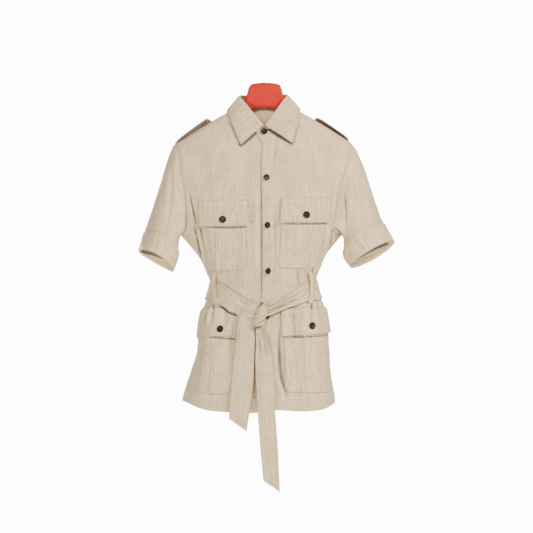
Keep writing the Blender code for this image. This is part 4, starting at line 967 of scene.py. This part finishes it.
def makeCollar():
    fold, edge = collarTracks()
    along = np.linspace(0, 1, collar["columnCount"])[None, :]
    across = np.linspace(0, 1, collar["rowCount"])[:, None]
    top, rim = trackAt(fold, along), trackAt(edge, along)
    middle = top * (1 - across)[..., None] + rim * across[..., None]
    normal = unit(np.cross(np.gradient(middle, axis=1), np.gradient(middle, axis=0)))
    normal *= np.sign(np.sum(normal * middle * (1, 1, 0), axis=-1))[..., None]
    sides = np.exp(-((along - 0.34) / 0.07) ** 2) + np.exp(-((along - 0.66) / 0.07) ** 2)
    roll = collar["roll"] + (collar["sideRoll"] - collar["roll"]) * sides
    lift = roll * 4 * across * (1 - across) + 0.25 * rumpleAt(middle) * across
    middle = middle + normal * lift[..., None]
    # the fold: half a turn inwards at the top
    turns = np.linspace(pi, 0, 7)[:-1][:, None]
    sideways = normal[:1] * collar["foldRadius"]
    up = unit(middle[:1] - middle[1:2]) * collar["foldRadius"]
    roll = (middle[:1] - sideways + sideways * np.cos(turns)[..., None]
            + up * np.sin(turns)[..., None])
    inside = roll[:1] - up * np.array((3.0, 1.5))[:, None, None]
    grid = np.concatenate((inside, roll, middle))[::-1]
    makeSheet("collar_fall", grid, linenTrim, sewn=("first", "last", "low"), thick=collar["thick"])
    makeStand(fold)


def neckLine(along, fold):
    x = smoothAt(fold, "x", along)
    rows = collar["rows"]
    widest = np.where(x < 0, abs(rows[3][1]), rows[7][1])
    x = x / widest * bodyShape["neckHalf"] * 0.995
    front = (along < rows[3][0]) | (along > rows[7][0])
    onFront = onBody(turnAt(x, neckHeight(x, True), True), neckHeight(x, True))
    onBack = onBody(turnAt(x, neckHeight(x, False), False), neckHeight(x, False))
    return np.where(front[:, None], onFront, onBack)


def makeStand(fold):
    run = np.linspace(0.02, 0.98, 110)
    top = trackAt(fold, run)
    low = neckLine(run, fold)
    inward = unit(np.stack((-top[:, 0], -top[:, 1], np.zeros(len(run))), axis=-1))
    top = top + inward * collar["standInset"] - np.array((0, 0, collar["standDrop"]))
    low = low + unit(top - low) * 0.4 + inward * 0.6
    share = np.linspace(0, 1, 14)[:, None, None]
    makeSheet("collar_stand", low[None] * (1 - share) + top[None] * share, linenTrim,
              sewn=("low",), thick=collar["standThick"])


makeCollar()
print("collar ready")


# ---- patch pockets ----

pockets = {
    "chest_pocket_right": {"top": (-100, -300), "low": (-97, -452), "half": (55, 55)},
    "chest_pocket_left": {"top": (98, -295), "low": (84, -448), "half": (55, 55)},
    "hip_pocket_right": {"top": (-104, -556), "low": (-112, -746), "half": (68, 68)},
    "hip_pocket_left": {"top": (108, -556), "low": (113, -744), "half": (68, 68)},
    "lift": 1.9, "edgeLift": 0.9, "pleatHalf": 18, "pleatRise": 1.5, "slot": 0.9,
    "corner": 11, "rows": 90, "columns": 92, "bag": 1.6, "bagReach": 60, "edgeEase": 3.0,
    "slotWide": 0.9, "slotAt": 1.6, "thick": 0.9,
}
flaps = {
    "chest_flap_right": {"top": (-100, -284), "low": (-98, -346), "half": (61, 61), "skew": -2},
    "chest_flap_left": {"top": (98, -279), "low": (97, -337), "half": (60, 60), "skew": 0},
    "hip_flap_right": {"top": (-104, -542), "low": (-104, -610), "half": (72, 78), "skew": -6},
    "hip_flap_left": {"top": (107, -540), "low": (108, -606), "half": (72, 76), "skew": 4},
    "sewnLift": 1.6, "sewnFrom": 0.86, "lift": 4.6, "bow": 2.2, "bowMiddle": 0.45, "wave": 0.5,
    "rows": 34, "columns": 72, "thick": 1.9,
}


def patchPlaces(shape, columns, share):
    # share is 0 at the low edge and 1 at the top, for every point of the grid
    side = np.sign(shape["top"][0])
    (topX, topZ), (lowX, lowZ) = shape["top"], shape["low"]
    x = lowX + (topX - lowX) * share
    z = lowZ + (topZ - lowZ) * share
    turn, height = spotAt(x, z, True)
    turns = beside(turn, height, columns * side)
    across = levelSurface(turns, height)[..., 0]
    chestTurns, chestLevel = spotAt(across, z, True)
    chest = z > bodyShape["underarm"]
    return np.where(chest, chestTurns, turns), np.where(chest, chestLevel, height)


def makePocket(name):
    shape = pockets[name]
    inner, outer = shape["half"]
    flank = pockets["pleatHalf"]
    plain = np.linspace(-inner, outer, pockets["columns"])
    steps = np.array([side * (flank + d) for side in (-1, 1) for d in (-0.8, 0, 0.8, 1.6, 2.4)])
    columns = np.sort(np.concatenate((plain, steps)))[None, :]
    share = np.linspace(0, 1, pockets["rows"])[:, None] ** 1.1
    past = np.abs(columns) - (np.where(columns < 0, inner, outer) - pockets["corner"])
    raised = np.clip(past, 0, None) / (abs(shape["top"][1] - shape["low"][1]))
    lowered = raised + share * (1 - raised)
    turn, height = patchPlaces(shape, columns + 0 * share, lowered)
    distance = np.minimum(inner + columns, outer - columns)
    near = np.minimum(distance + 0 * share, lowered * abs(shape["top"][1] - shape["low"][1]) + 0.01)
    edge = easeBetween(near, 0, pockets["edgeEase"])
    pleat = easeBetween(np.abs(columns), flank + 1.2, flank - 0.4) + 0 * share
    slot = np.exp(-((np.abs(columns) - flank - pockets["slotAt"]) / pockets["slotWide"]) ** 2)
    out = pockets["edgeLift"] + (pockets["lift"] - pockets["edgeLift"]) * edge
    out = out + pockets["pleatRise"] * pleat - pockets["slot"] * slot
    out = out + pockets["bag"] * np.sin(pi * np.clip(near / pockets["bagReach"], 0, 1)) * edge
    grid = onBody(turn, height, out)
    makeSheet(name, grid, linenTrim, sewn=("first", "last", "low"), thick=pockets["thick"],
              grainColumn=columns.size // 2)


def makeFlap(name):
    shape = flaps[name]
    inner, outer = shape["half"]
    columns = np.linspace(-inner, outer, flaps["columns"])[None, :]
    share = np.linspace(0, 1, flaps["rows"])[:, None]
    tall = abs(shape["top"][1] - shape["low"][1])
    skew = shape["skew"] / tall * columns / outer * (1 - share)
    turn, height = patchPlaces(shape, columns + 0 * share, share + skew)
    sewn = easeBetween(share, 1, flaps["sewnFrom"])
    out = flaps["sewnLift"] + (flaps["lift"] - flaps["sewnLift"]) * sewn
    middle = flaps["bowMiddle"]
    out = out + flaps["bow"] * (1 - share) ** 2 * (
        middle + (1 - middle) * np.abs(columns / outer) ** 2)
    out = out + flaps["wave"] * np.sin(columns / outer * 7.1 + len(name)) * (1 - share)
    makeSheet(name, onBody(turn, height, out), linenTrim, sewn=("first", "last", "low"),
              thick=flaps["thick"], grainColumn=flaps["columns"] // 2)


for name in ("chest_pocket_right", "chest_pocket_left", "hip_pocket_right", "hip_pocket_left"):
    makePocket(name)
for name in ("chest_flap_right", "chest_flap_left", "hip_flap_right", "hip_flap_left"):
    makeFlap(name)
print("pockets ready")


# ---- belt ----

belt = {
    "columns": ("turn", "z", "half", "out"),
    "rows": ((-362, -556, 11, 19), (-352, -547, 11, 14), (-342, -533, 13, 11),
             (-330, -519, 17, 9.6), (-315, -506, 21, 6), (-298, -502, 22, 4.4),
             (-270, -499, 22, 4.4), (-180, -496, 23.5, 4.4), (-90, -503, 21, 4.4),
             (-63, -501, 20.5, 4.4), (-45, -510, 23.5, 6), (-30, -529, 23, 9.8),
             (-21, -541, 21, 12.5), (-11, -552, 17, 19)),
    "pleats": 3, "pleatDeep": 4.2, "dive": 4.0, "pleatFrom": -312, "pleatTo": -352,
    "columnCount": 420, "rowCount": 26, "thick": 2.0, "edgeIn": 0.8, "topIn": 1.6, "wave": 1.3,
    "intoKnot": 0.86,
}
knot = {
    "x": -10.5, "z": -561, "lean": 0.16, "wide": 14, "deep": 14, "tall": 29, "out": 21,
    # coreShade, innerShade and sideShade: strengths of the painted shade on the knot
    "core": 0.78, "from": 118, "to": -118, "coreShade": 2.4, "innerShade": 1.4, "sideShade": 3.2,
    # each strand's middle height, its rise to the right and its radius
    "strands": ((-541, 11, 5.4), (-551, 15, 5.2), (-561, 17, 5.6), (-571, 15, 5.0), (-580, 8, 4.6)),
}
tails = {
    "belt_tail_short": {
        "columns": ("along", "leftX", "leftZ", "rightX", "rightZ", "out"),
        "rows": ((0.00, -26, -530, -20, -560, 11.0), (0.06, -46, -541, -22, -588, 11.0),
                 (0.12, -60.5, -556, -24, -612, 11.6), (0.24, -67, -592, -25, -640, 11.6),
                 (0.38, -71, -632, -26, -672, 10.2), (0.60, -78, -696, -28, -718, 9.0),
                 (0.82, -83, -755, -33, -768, 8.6), (1.00, -86.5, -806, -43.5, -836, 8.6)),
        "pleats": 2.2, "pleatDeep": 1.6, "pleatEnd": 0.30},
    "belt_tail_long": {
        "columns": ("along", "leftX", "leftZ", "rightX", "rightZ", "out"),
        "rows": ((0.00, -21, -590.4, -8, -590.4, 17.2), (0.07, -21.5, -618, 6, -616, 14),
                 (0.16, -22.5, -652, 15, -650, 9.5), (0.28, -22.5, -697, 21, -695, 8.0),
                 (0.52, -18, -788, 25, -788, 7.8), (0.76, -11.5, -876, 31, -876, 7.8),
                 (1.00, -4.5, -953, 36, -981, 7.8)),
        "pleats": 3.0, "pleatDeep": 2.6, "pleatEnd": 0.34},
    "rowCount": 150, "columnCount": 26, "wave": 0.9,
}


def knotMiddle(z):
    return knot["x"] + knot["lean"] * (z - knot["z"])


def knotWidth(z):
    return knot["wide"] * np.sqrt(1 - np.clip(np.abs(z - knot["z"]) / knot["tall"], 0, 1) ** 3)


def makeBelt():
    share = np.linspace(0, 1, belt["columnCount"])[None, :]
    up = np.linspace(-1, 1, belt["rowCount"])[:, None]
    ends = []
    for row, side in ((belt["rows"][-1], -1), (belt["rows"][0], 1)):
        z = row[1] + up[:, 0] * row[2]
        x = knotMiddle(z) + side * (knotWidth(z) * belt["intoKnot"])
        turn, _ = spotAt(x, z, True)
        ends.append(turn if side < 0 else turn - 360)
    turn = ends[0][:, None] * (1 - share) + ends[1][:, None] * share
    height = smoothAt(belt, "z", turn) + up * smoothAt(belt, "half", turn)
    gather = easeBetween(turn, belt["pleatFrom"], belt["pleatTo"])
    wave = np.abs(np.sin(pi * belt["pleats"] * (up + 1) / 2 + 0.5)) ** 0.6
    other = easeBetween(turn, -30, -14) * belt["wave"] * np.sin(pi * 2.2 * up + 0.4)
    out = smoothAt(belt, "out", turn) + belt["pleatDeep"] * gather * (wave - 0.7) + other
    out = out - belt["edgeIn"] * easeBetween(np.abs(up), 0.86, 1.0)
    out = out - belt["topIn"] * easeBetween(up, 0.2, 1.0) * easeBetween(
        np.abs(turn + 180), 150, 110)
    # its low edge dives under the short tail, which carries on from it
    out = out - belt["dive"] * easeBetween(up, 0.1, -0.7) * easeBetween(turn, -30, -26.5)
    makeSheet("belt_band", onBody(turn, height, out), linenTrim, sewn=("low", "top"),
              thick=belt["thick"],
              lengthwise=True)


def makeTail(name):
    table = tails[name]
    along = np.linspace(0, 1, tails["rowCount"])[:, None]
    across = np.linspace(0, 1, tails["columnCount"])[None, :]
    x = smoothAt(table, "leftX", along) * (1 - across) + smoothAt(table, "rightX", along) * across
    z = smoothAt(table, "leftZ", along) * (1 - across) + smoothAt(table, "rightZ", along) * across
    fan = np.clip(1 - along / table["pleatEnd"], 0, 1) ** 1.2
    wave = np.abs(np.sin(pi * table["pleats"] * across + 0.4)) ** 0.7 - 0.6
    out = smoothAt(table, "out", along) + table["pleatDeep"] * fan * wave
    out = out + tails["wave"] * np.sin(along * 9 + across * 2.0) * np.clip(along * 3, 0, 1)
    turn, height = spotAt(x, np.maximum(z, smoothAt(hemShape, "front", 0)), True)
    points = onBody(turn, height, out)
    points[..., 0] = x
    points[..., 2] = z
    makeSheet(name, points[::-1], linenTrim, sewn=("low", "first", "last"), thick=belt["thick"])


def makeKnot():
    # rolled strands wind down over a core, from the belt's right end to the tails
    turn, height = spotAt(knot["x"], knot["z"], True)
    backOff = onBody(turn, height, knot["out"])[1]
    bm = bmesh.new()
    edge = bm.verts.layers.float.new("edge")
    deep = bm.verts.layers.float.new("paintedShading")
    weave = bm.loops.layers.uv.new("weave")
    bmesh.ops.create_uvsphere(bm, u_segments=48, v_segments=32, radius=1)
    for vert in bm.verts:
        x, y, z = vert.co
        plain = max(np.hypot(x, y), 1e-6)
        full = np.sqrt(max(1 - abs(z) ** 3, 0)) * knot["core"]
        level = knot["z"] + z * (knot["tall"] - 3)
        # painted shade over the whole core, which lies behind the strands
        vert[deep] = knot["coreShade"]
        vert.co = Vector((knotMiddle(level) + x / plain * full * knot["wide"],
                          backOff + y / plain * full * knot["deep"], level)) * mm
    turns = np.linspace(knot["from"], knot["to"], 72)
    around = np.linspace(0, 2 * pi, 21)[:-1]
    for number, (middleZ, drop, thick) in enumerate(knot["strands"]):
        angle = np.radians(turns)
        z = middleZ + drop * turns / 90 + 1.5 * np.sin(angle * 1.7 + number)
        wide = knotWidth(z) / knot["wide"]
        line = stacked(knotMiddle(z) + (knot["wide"] - 3.6) * wide * np.sin(angle),
                       backOff - (knot["deep"] - 3.2) * wide * np.cos(angle), z)
        ahead = unit(np.gradient(line, axis=0))
        outward = unit(stacked(np.sin(angle), -np.cos(angle), 0 * z))
        side = unit(np.cross(ahead, outward))
        ends = np.sin(pi * np.linspace(0.03, 0.97, len(turns))) ** 0.35
        rings = []
        for i in range(len(turns)):
            pleat = 1 + 0.10 * np.cos(5 * around + number + 0.03 * turns[i])
            shape = (side[i] * np.cos(around)[:, None] * thick * 1.15
                     + outward[i] * np.sin(around)[:, None] * thick * 0.85) * pleat[:, None]
            ring = []
            for j, point in enumerate(line[i] + shape * ends[i]):
                vert = bm.verts.new(Vector(point) * mm)
                vert[edge] = 99.0
                # painted shade on the inner and side faces of each strand
                vert[deep] = (knot["innerShade"] * max(-sin(around[j]), 0)
                              + knot["sideShade"] * abs(cos(around[j])) ** 4)
                ring.append(vert)
            rings.append(ring)
        for low, high in zip(rings, rings[1:]):
            for j in range(len(ring)):
                k = (j + 1) % len(ring)
                bm.faces.new((low[j], low[k], high[k], high[j]))
        bm.faces.new(rings[0][::-1])
        bm.faces.new(rings[-1])
    bmesh.ops.recalc_face_normals(bm, faces=bm.faces)
    for face in bm.faces:
        for loop in face.loops:
            x, y, z = loop.vert.co
            loop[weave].uv = (z + x, x - z)
    piece = addMesh("beltKnot", bm, (linenTrim,))
    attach(piece, "root")
    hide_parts("belt_knot")


makeKnot()
makeBelt()
makeTail("belt_tail_short")
makeTail("belt_tail_long")
print("belt ready")


# ---- belt loops and shoulder tabs ----

loops = {"belt_loop_right": -116, "belt_loop_left": 107, "half": 6.6, "top": -456, "low": -532,
         "in": 1.2, "over": 9.2, "thick": 1.4}
tabs = {
    "epaulette_right": {"tip": -216, "end": -129, "bow": 16.5},
    "epaulette_left": {"tip": 201, "end": 120, "bow": 11},
    "half": 19, "lift": 2.3, "sag": 3, "point": 0.9, "tilt": 0.9, "drop": 0.13,
    "riseShape": 0.4, "dropShape": 0.7, "narrowed": 0.5, "thick": 2.0,
}


def makeLoop(name):
    rise = np.linspace(0, 1, 60)[:, None]
    across = np.linspace(-loops["half"], loops["half"], 13)[None, :]
    height = loops["low"] + (loops["top"] - loops["low"]) * rise + 0 * across
    bridge = np.abs(np.sin(pi * rise)) ** 0.2
    out = loops["in"] + (loops["over"] - loops["in"]) * bridge + 0.5 * (1 - (across / 7) ** 2)
    turn, _ = spotAt(loops[name], height)
    turn = beside(turn, height, across)
    makeSheet(name, onBody(turn, height, out), linenTrim, sewn=("first", "last"),
              thick=loops["thick"])


def makeTab(name):
    tab = tabs[name]
    along = np.linspace(0, 1, 60)[:, None]
    across = np.linspace(-1, 1, 30)[None, :]
    x = tab["tip"] + (tab["end"] - tab["tip"]) * along + 0 * across
    ridge = bodyShape["ridge"] - shoulderFall(x, True)
    fall = np.clip((1 - along) / tabs["drop"], 0, 1) ** tabs["dropShape"]
    rise = along ** tabs["riseShape"] * fall
    bow = tab["bow"] * rise * (1 - across * tabs["tilt"]) / 2
    z = ridge + tabs["lift"] + bow - tabs["sag"] * across ** 2
    narrow = 1 - tabs["narrowed"] * np.clip((along - tabs["point"]) / (1 - tabs["point"]), 0, 1)
    makeSheet(name, stacked(x, across * tabs["half"] * narrow, z), linenTrim,
              thick=tabs["thick"])


for name in ("belt_loop_right", "belt_loop_left"):
    makeLoop(name)
for name in ("epaulette_right", "epaulette_left"):
    makeTab(name)
print("loops and tabs ready")


# ---- buttons ----

buttons = {
    "places": {
        "button_front_1": (-2.5, -120.5, 0.9), "button_front_2": (3, -230, 0.9),
        "button_front_3": (5, -344, 0.9), "button_front_4": (6.5, -453, 0.9),
        "button_front_5": (4, -561, 0.9), "button_front_6": (-2, -677, 0.9),
        "button_chest_right": (-100, -330, 6.4), "button_chest_left": (98, -319, 6.4),
        "button_hip_right": (-104.5, -593, 6.6), "button_hip_left": (108, -586, 6.6),
    },
    "radius": 8.7, "thick": 3.2, "holeRadius": 0.95, "holeAt": 2.1,
    "holeLevel": 0.64, "threadLevel": 0.78, "threadRadius": 0.5, "turnLift": 0.55,
    "color": (0.0065, 0.0065, 0.0075), "grainColor": (0.018, 0.018, 0.020),
    "frontRadius": 7.9, "turned": {"button_front_1": 12, "button_front_2": 22, "button_front_3": 30,
                                   "button_front_4": 36, "button_front_5": 44},
    "profile": ((0, 0.1), (0.55, 0), (0.93, 0.22), (1, 0.5), (0.99, 0.78), (0.93, 0.97),
                (0.86, 1.0), (0.79, 0.93), (0.73, 0.74), (0.5, 0.66), (0.22, 0.63), (0, 0.62)),
}


def makeButtonFinish():
    material, tree, shader, start = startMaterial("buttonHorn", 0.33)
    spot = start.node("ShaderNodeTexCoord", {}, {}, 3)
    grain = start.noise(260, 3, spot)
    color = grain.between(0.35, 0.8).mixed(buttons["color"], buttons["grainColor"])
    tree.links.new(color.socket, shader.inputs["Base Color"])
    tree.links.new((grain * 0.16 + 0.30).socket, shader.inputs["Roughness"])
    shader.inputs["Specular IOR Level"].default_value = 0.22
    return material


def makeThreadFinish():
    material, tree, shader, start = startMaterial("buttonThread", 0.85)
    spot = start.node("ShaderNodeTexCoord", {}, {}, 3)
    twist = start.noise(1900, 1, spot)
    color = twist.mixed((0.010, 0.010, 0.011), (0.035, 0.034, 0.034))
    tree.links.new(color.socket, shader.inputs["Base Color"])
    return material


def makeButton(name, place, finishes):
    x, z, out = place
    turn, height = spotAt(x, z, True)
    seat = Vector(onBody(turn, height, out))
    facing = (Vector(onBody(turn, height, out + 5)) - seat).normalized()
    bm = bmesh.new()
    radius = buttons["frontRadius" if "front" in name else "radius"]
    ring = [bm.verts.new((r * radius, 0, d * buttons["thick"])) for r, d in buttons["profile"]]
    edges = [bm.edges.new(pair) for pair in zip(ring, ring[1:])]
    bmesh.ops.spin(bm, geom=ring + edges, cent=(0, 0, 0), axis=(0, 0, 1), angle=2 * pi, steps=48,
                   use_merge=True)
    bmesh.ops.remove_doubles(bm, verts=bm.verts, dist=0.001)
    bmesh.ops.recalc_face_normals(bm, faces=bm.faces)
    base = len(bm.faces)
    for i in range(4):
        angle = pi / 4 + i * pi / 2
        spot = Matrix.Translation((buttons["holeAt"] * cos(angle), buttons["holeAt"] * sin(angle),
                                   buttons["holeLevel"] * buttons["thick"]))
        bmesh.ops.create_cone(bm, cap_ends=True, segments=16, radius1=buttons["holeRadius"],
                              radius2=buttons["holeRadius"] * 0.9, depth=0.5, matrix=spot)
    for angle in (pi / 4, 3 * pi / 4):
        lie = (Matrix.Translation((0, 0, buttons["threadLevel"] * buttons["thick"]))
               @ Matrix.Rotation(angle, 4, "Z") @ Matrix.Rotation(pi / 2, 4, "Y"))
        bmesh.ops.create_cone(bm, cap_ends=True, segments=10, radius1=buttons["threadRadius"],
                              radius2=buttons["threadRadius"], depth=2 * buttons["holeAt"],
                              matrix=lie)
    bm.faces.ensure_lookup_table()
    for face in bm.faces[base:]:
        face.material_index = 1
    turned = radians(buttons["turned"].get(name, 0))
    seat = seat + facing * (radius * sin(turned) * buttons["turnLift"])
    pose = (Matrix.Translation(seat) @ Matrix.Rotation(turned, 4, "Z")
            @ facing.to_track_quat("Z", "Y").to_matrix().to_4x4())
    bmesh.ops.transform(bm, matrix=Matrix.Scale(mm, 4) @ pose, verts=bm.verts)
    piece = addMesh(name + "_sewn", bm, finishes, cloth["sharpAbove"])
    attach(piece, "root")
    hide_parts(name)


buttonFinishes = (makeButtonFinish(), makeThreadFinish())
for name, place in buttons["places"].items():
    makeButton(name, place, buttonFinishes)
print("buttons ready")


# ---- hanger ----

hanger = {
    "columns": ("x", "top", "low", "half"),
    "rows": ((0, 0, -62, 11), (14, -0.6, -62.8, 11), (27, -2.6, -65.5, 11), (36, -6.2, -70, 11),
             (40.5, -14, -73.5, 11), (43.5, -26, -76.5, 11), (47, -38, -80, 11),
             (54, -52, -88, 11), (65, -73, -101, 11), (92, -79.6, -115, 13),
             (125, -98.2, -133, 15), (160, -119.35, -151, 15.5), (184, -135.2, -162, 14),
             (194, -144, -162, 8)),
    "square": 3.4, "color": (0.60, 0.027, 0.016), "cloudColor": (0.55, 0.022, 0.013),
    "shadeColor": (0.43, 0.016, 0.010), "halfLong": 194, "rings": 120, "sides": 48,
}


def makeHangerFinish():
    material, tree, shader, start = startMaterial("hangerPaint", 0.42)
    spot = start.node("ShaderNodeTexCoord", {}, {}, 3)
    cloudy = start.noise(18, 3, spot)
    fine = start.noise(900, 2, spot)
    color = cloudy.between(0.3, 0.75).mixed(hanger["color"], hanger["cloudColor"])
    color = (fine.between(0.55, 0.8) * 0.2).mixed(color, hanger["shadeColor"])
    tree.links.new(color.socket, shader.inputs["Base Color"])
    tree.links.new((cloudy * 0.14 + 0.38).socket, shader.inputs["Roughness"])
    shader.inputs["Specular IOR Level"].default_value = 0.12
    bump = start.node("ShaderNodeBump", {}, {"Strength": 0.12, "Distance": 0.0003, "Height": fine})
    tree.links.new(bump.socket, shader.inputs["Normal"])
    return material


def makeHanger():
    x = np.linspace(0, hanger["halfLong"], hanger["rings"])
    x = np.concatenate((-x[:0:-1], x))
    sides = hanger["sides"]
    angles = np.linspace(0, 2 * pi, sides + 1)
    top, low = smoothAt(hanger, "top", np.abs(x)), smoothAt(hanger, "low", np.abs(x))
    half = smoothAt(hanger, "half", np.abs(x))
    across, up = np.cos(angles)[None, :], np.sin(angles)[None, :]
    size = (np.abs(across) ** hanger["square"] + np.abs(up) ** hanger["square"]) ** (
        1 / hanger["square"])
    grid = stacked(x[:, None], half[:, None] * across / size,
                   ((top + low) / 2)[:, None] + ((top - low) / 2)[:, None] * up / size)
    bm = bmesh.new()
    bmesh.ops.create_grid(bm, x_segments=sides, y_segments=len(x) - 1, size=0.5)
    for vert in bm.verts:
        cell = (round((vert.co.y + 0.5) * (len(x) - 1)), round((vert.co.x + 0.5) * sides))
        vert.co = Vector(grid[cell]) * mm
    bmesh.ops.remove_doubles(bm, verts=bm.verts, dist=0.00001)
    rims = [edge for edge in bm.edges if edge.is_boundary]
    bmesh.ops.holes_fill(bm, edges=rims, sides=60)
    bmesh.ops.recalc_face_normals(bm, faces=bm.faces)
    piece = addMesh("hangerBody", bm, (makeHangerFinish(),), cloth["sharpAbove"])
    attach(piece, "root")
    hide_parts("hanger")


makeHanger()
print("hanger ready")


# ---- floor, light and camera ----

studio = {
    "floorAt": -1.32, "floorHalf": 2.6, "backgroundWhite": 13.5, "fill": 0.66,
    "floorColor": (0.86, 0.86, 0.86, 1),
    "distance": 12.0, "aimX": 0.0036, "aimY": -0.03, "aimZ": -0.4428, "frameWide": 1.2792,
    # place, aim, size and power of each lamp, in metres and watts
    "lamps": {
        "keyLight": ((1.9, -2.0, 1.15), (0, 0, -0.45), (0.7, 0.8), 106),
        "fillLight": ((-1.2, -3.0, -1.1), (0, 0, -0.45), (1.0, 1.0), 62),
        "backLight": ((-1.1, 3.2, 0.5), (0, 0, -0.45), (1.2, 1.2), 80),
        "cuffLightRight": ((-0.262, -0.034, -0.408), (-0.266, 0.06, -0.425), (0.08, 0.03), 0.05),
        "cuffLightLeft": ((0.256, -0.034, -0.390), (0.262, 0.06, -0.408), (0.08, 0.03), 0.05),
        "collarLight": ((0.0, 0.014, -0.078), (0, 0.06, -0.088), (0.05, 0.012), 0.021),
    },
}


def makeStage():
    bm = bmesh.new()
    bmesh.ops.create_grid(bm, x_segments=8, y_segments=8, size=studio["floorHalf"])
    bmesh.ops.translate(bm, vec=(0, 0, studio["floorAt"]), verts=bm.verts)
    material, tree, shader, start = startMaterial("paleFloor", 0.8)
    shader.inputs["Base Color"].default_value = studio["floorColor"]
    floor = addMesh("floor", bm, (material,))


def addSoftbox(name, place, aim, size, power):
    lamp = bpy.data.lights.new(name, "AREA")
    lamp.shape = "RECTANGLE"
    lamp.size, lamp.size_y = size
    lamp.energy = power
    thing = bpy.data.objects.new(name, lamp)
    thing.location = place
    thing.rotation_euler = (Vector(aim) - Vector(place)).to_track_quat("-Z", "Y").to_euler()
    thing.visible_camera = False
    bpy.context.collection.objects.link(thing)


def makeWorld():
    world = bpy.data.worlds.new("studio")
    bpy.context.scene.world = world
    world.use_nodes = True
    tree = world.node_tree
    soft = tree.nodes["Background"]
    soft.inputs[0].default_value = (1, 1, 1, 1)
    soft.inputs[1].default_value = studio["fill"]
    seen = tree.nodes.new("ShaderNodeBackground")
    seen.inputs[0].default_value = (1, 1, 1, 1)
    seen.inputs[1].default_value = studio["backgroundWhite"]
    path = tree.nodes.new("ShaderNodeLightPath")
    mix = tree.nodes.new("ShaderNodeMixShader")
    tree.links.new(path.outputs["Is Camera Ray"], mix.inputs[0])
    tree.links.new(soft.outputs[0], mix.inputs[1])
    tree.links.new(seen.outputs[0], mix.inputs[2])
    tree.links.new(mix.outputs[0], tree.nodes["World Output"].inputs[0])


makeStage()
makeWorld()
for name, (place, aim, size, power) in studio["lamps"].items():
    addSoftbox(name, place, aim, size, power)
camera = bpy.data.cameras.new("camera")
camera.lens = 36 * studio["distance"] / studio["frameWide"]
camera.sensor_width = 36
camera.clip_end = 100
viewer = bpy.data.objects.new("camera", camera)
viewer.location = (studio["aimX"], studio["aimY"] - studio["distance"], studio["aimZ"])
viewer.rotation_euler = (pi / 2, 0, 0)
bpy.context.collection.objects.link(viewer)
bpy.context.scene.camera = viewer
print("stage ready")
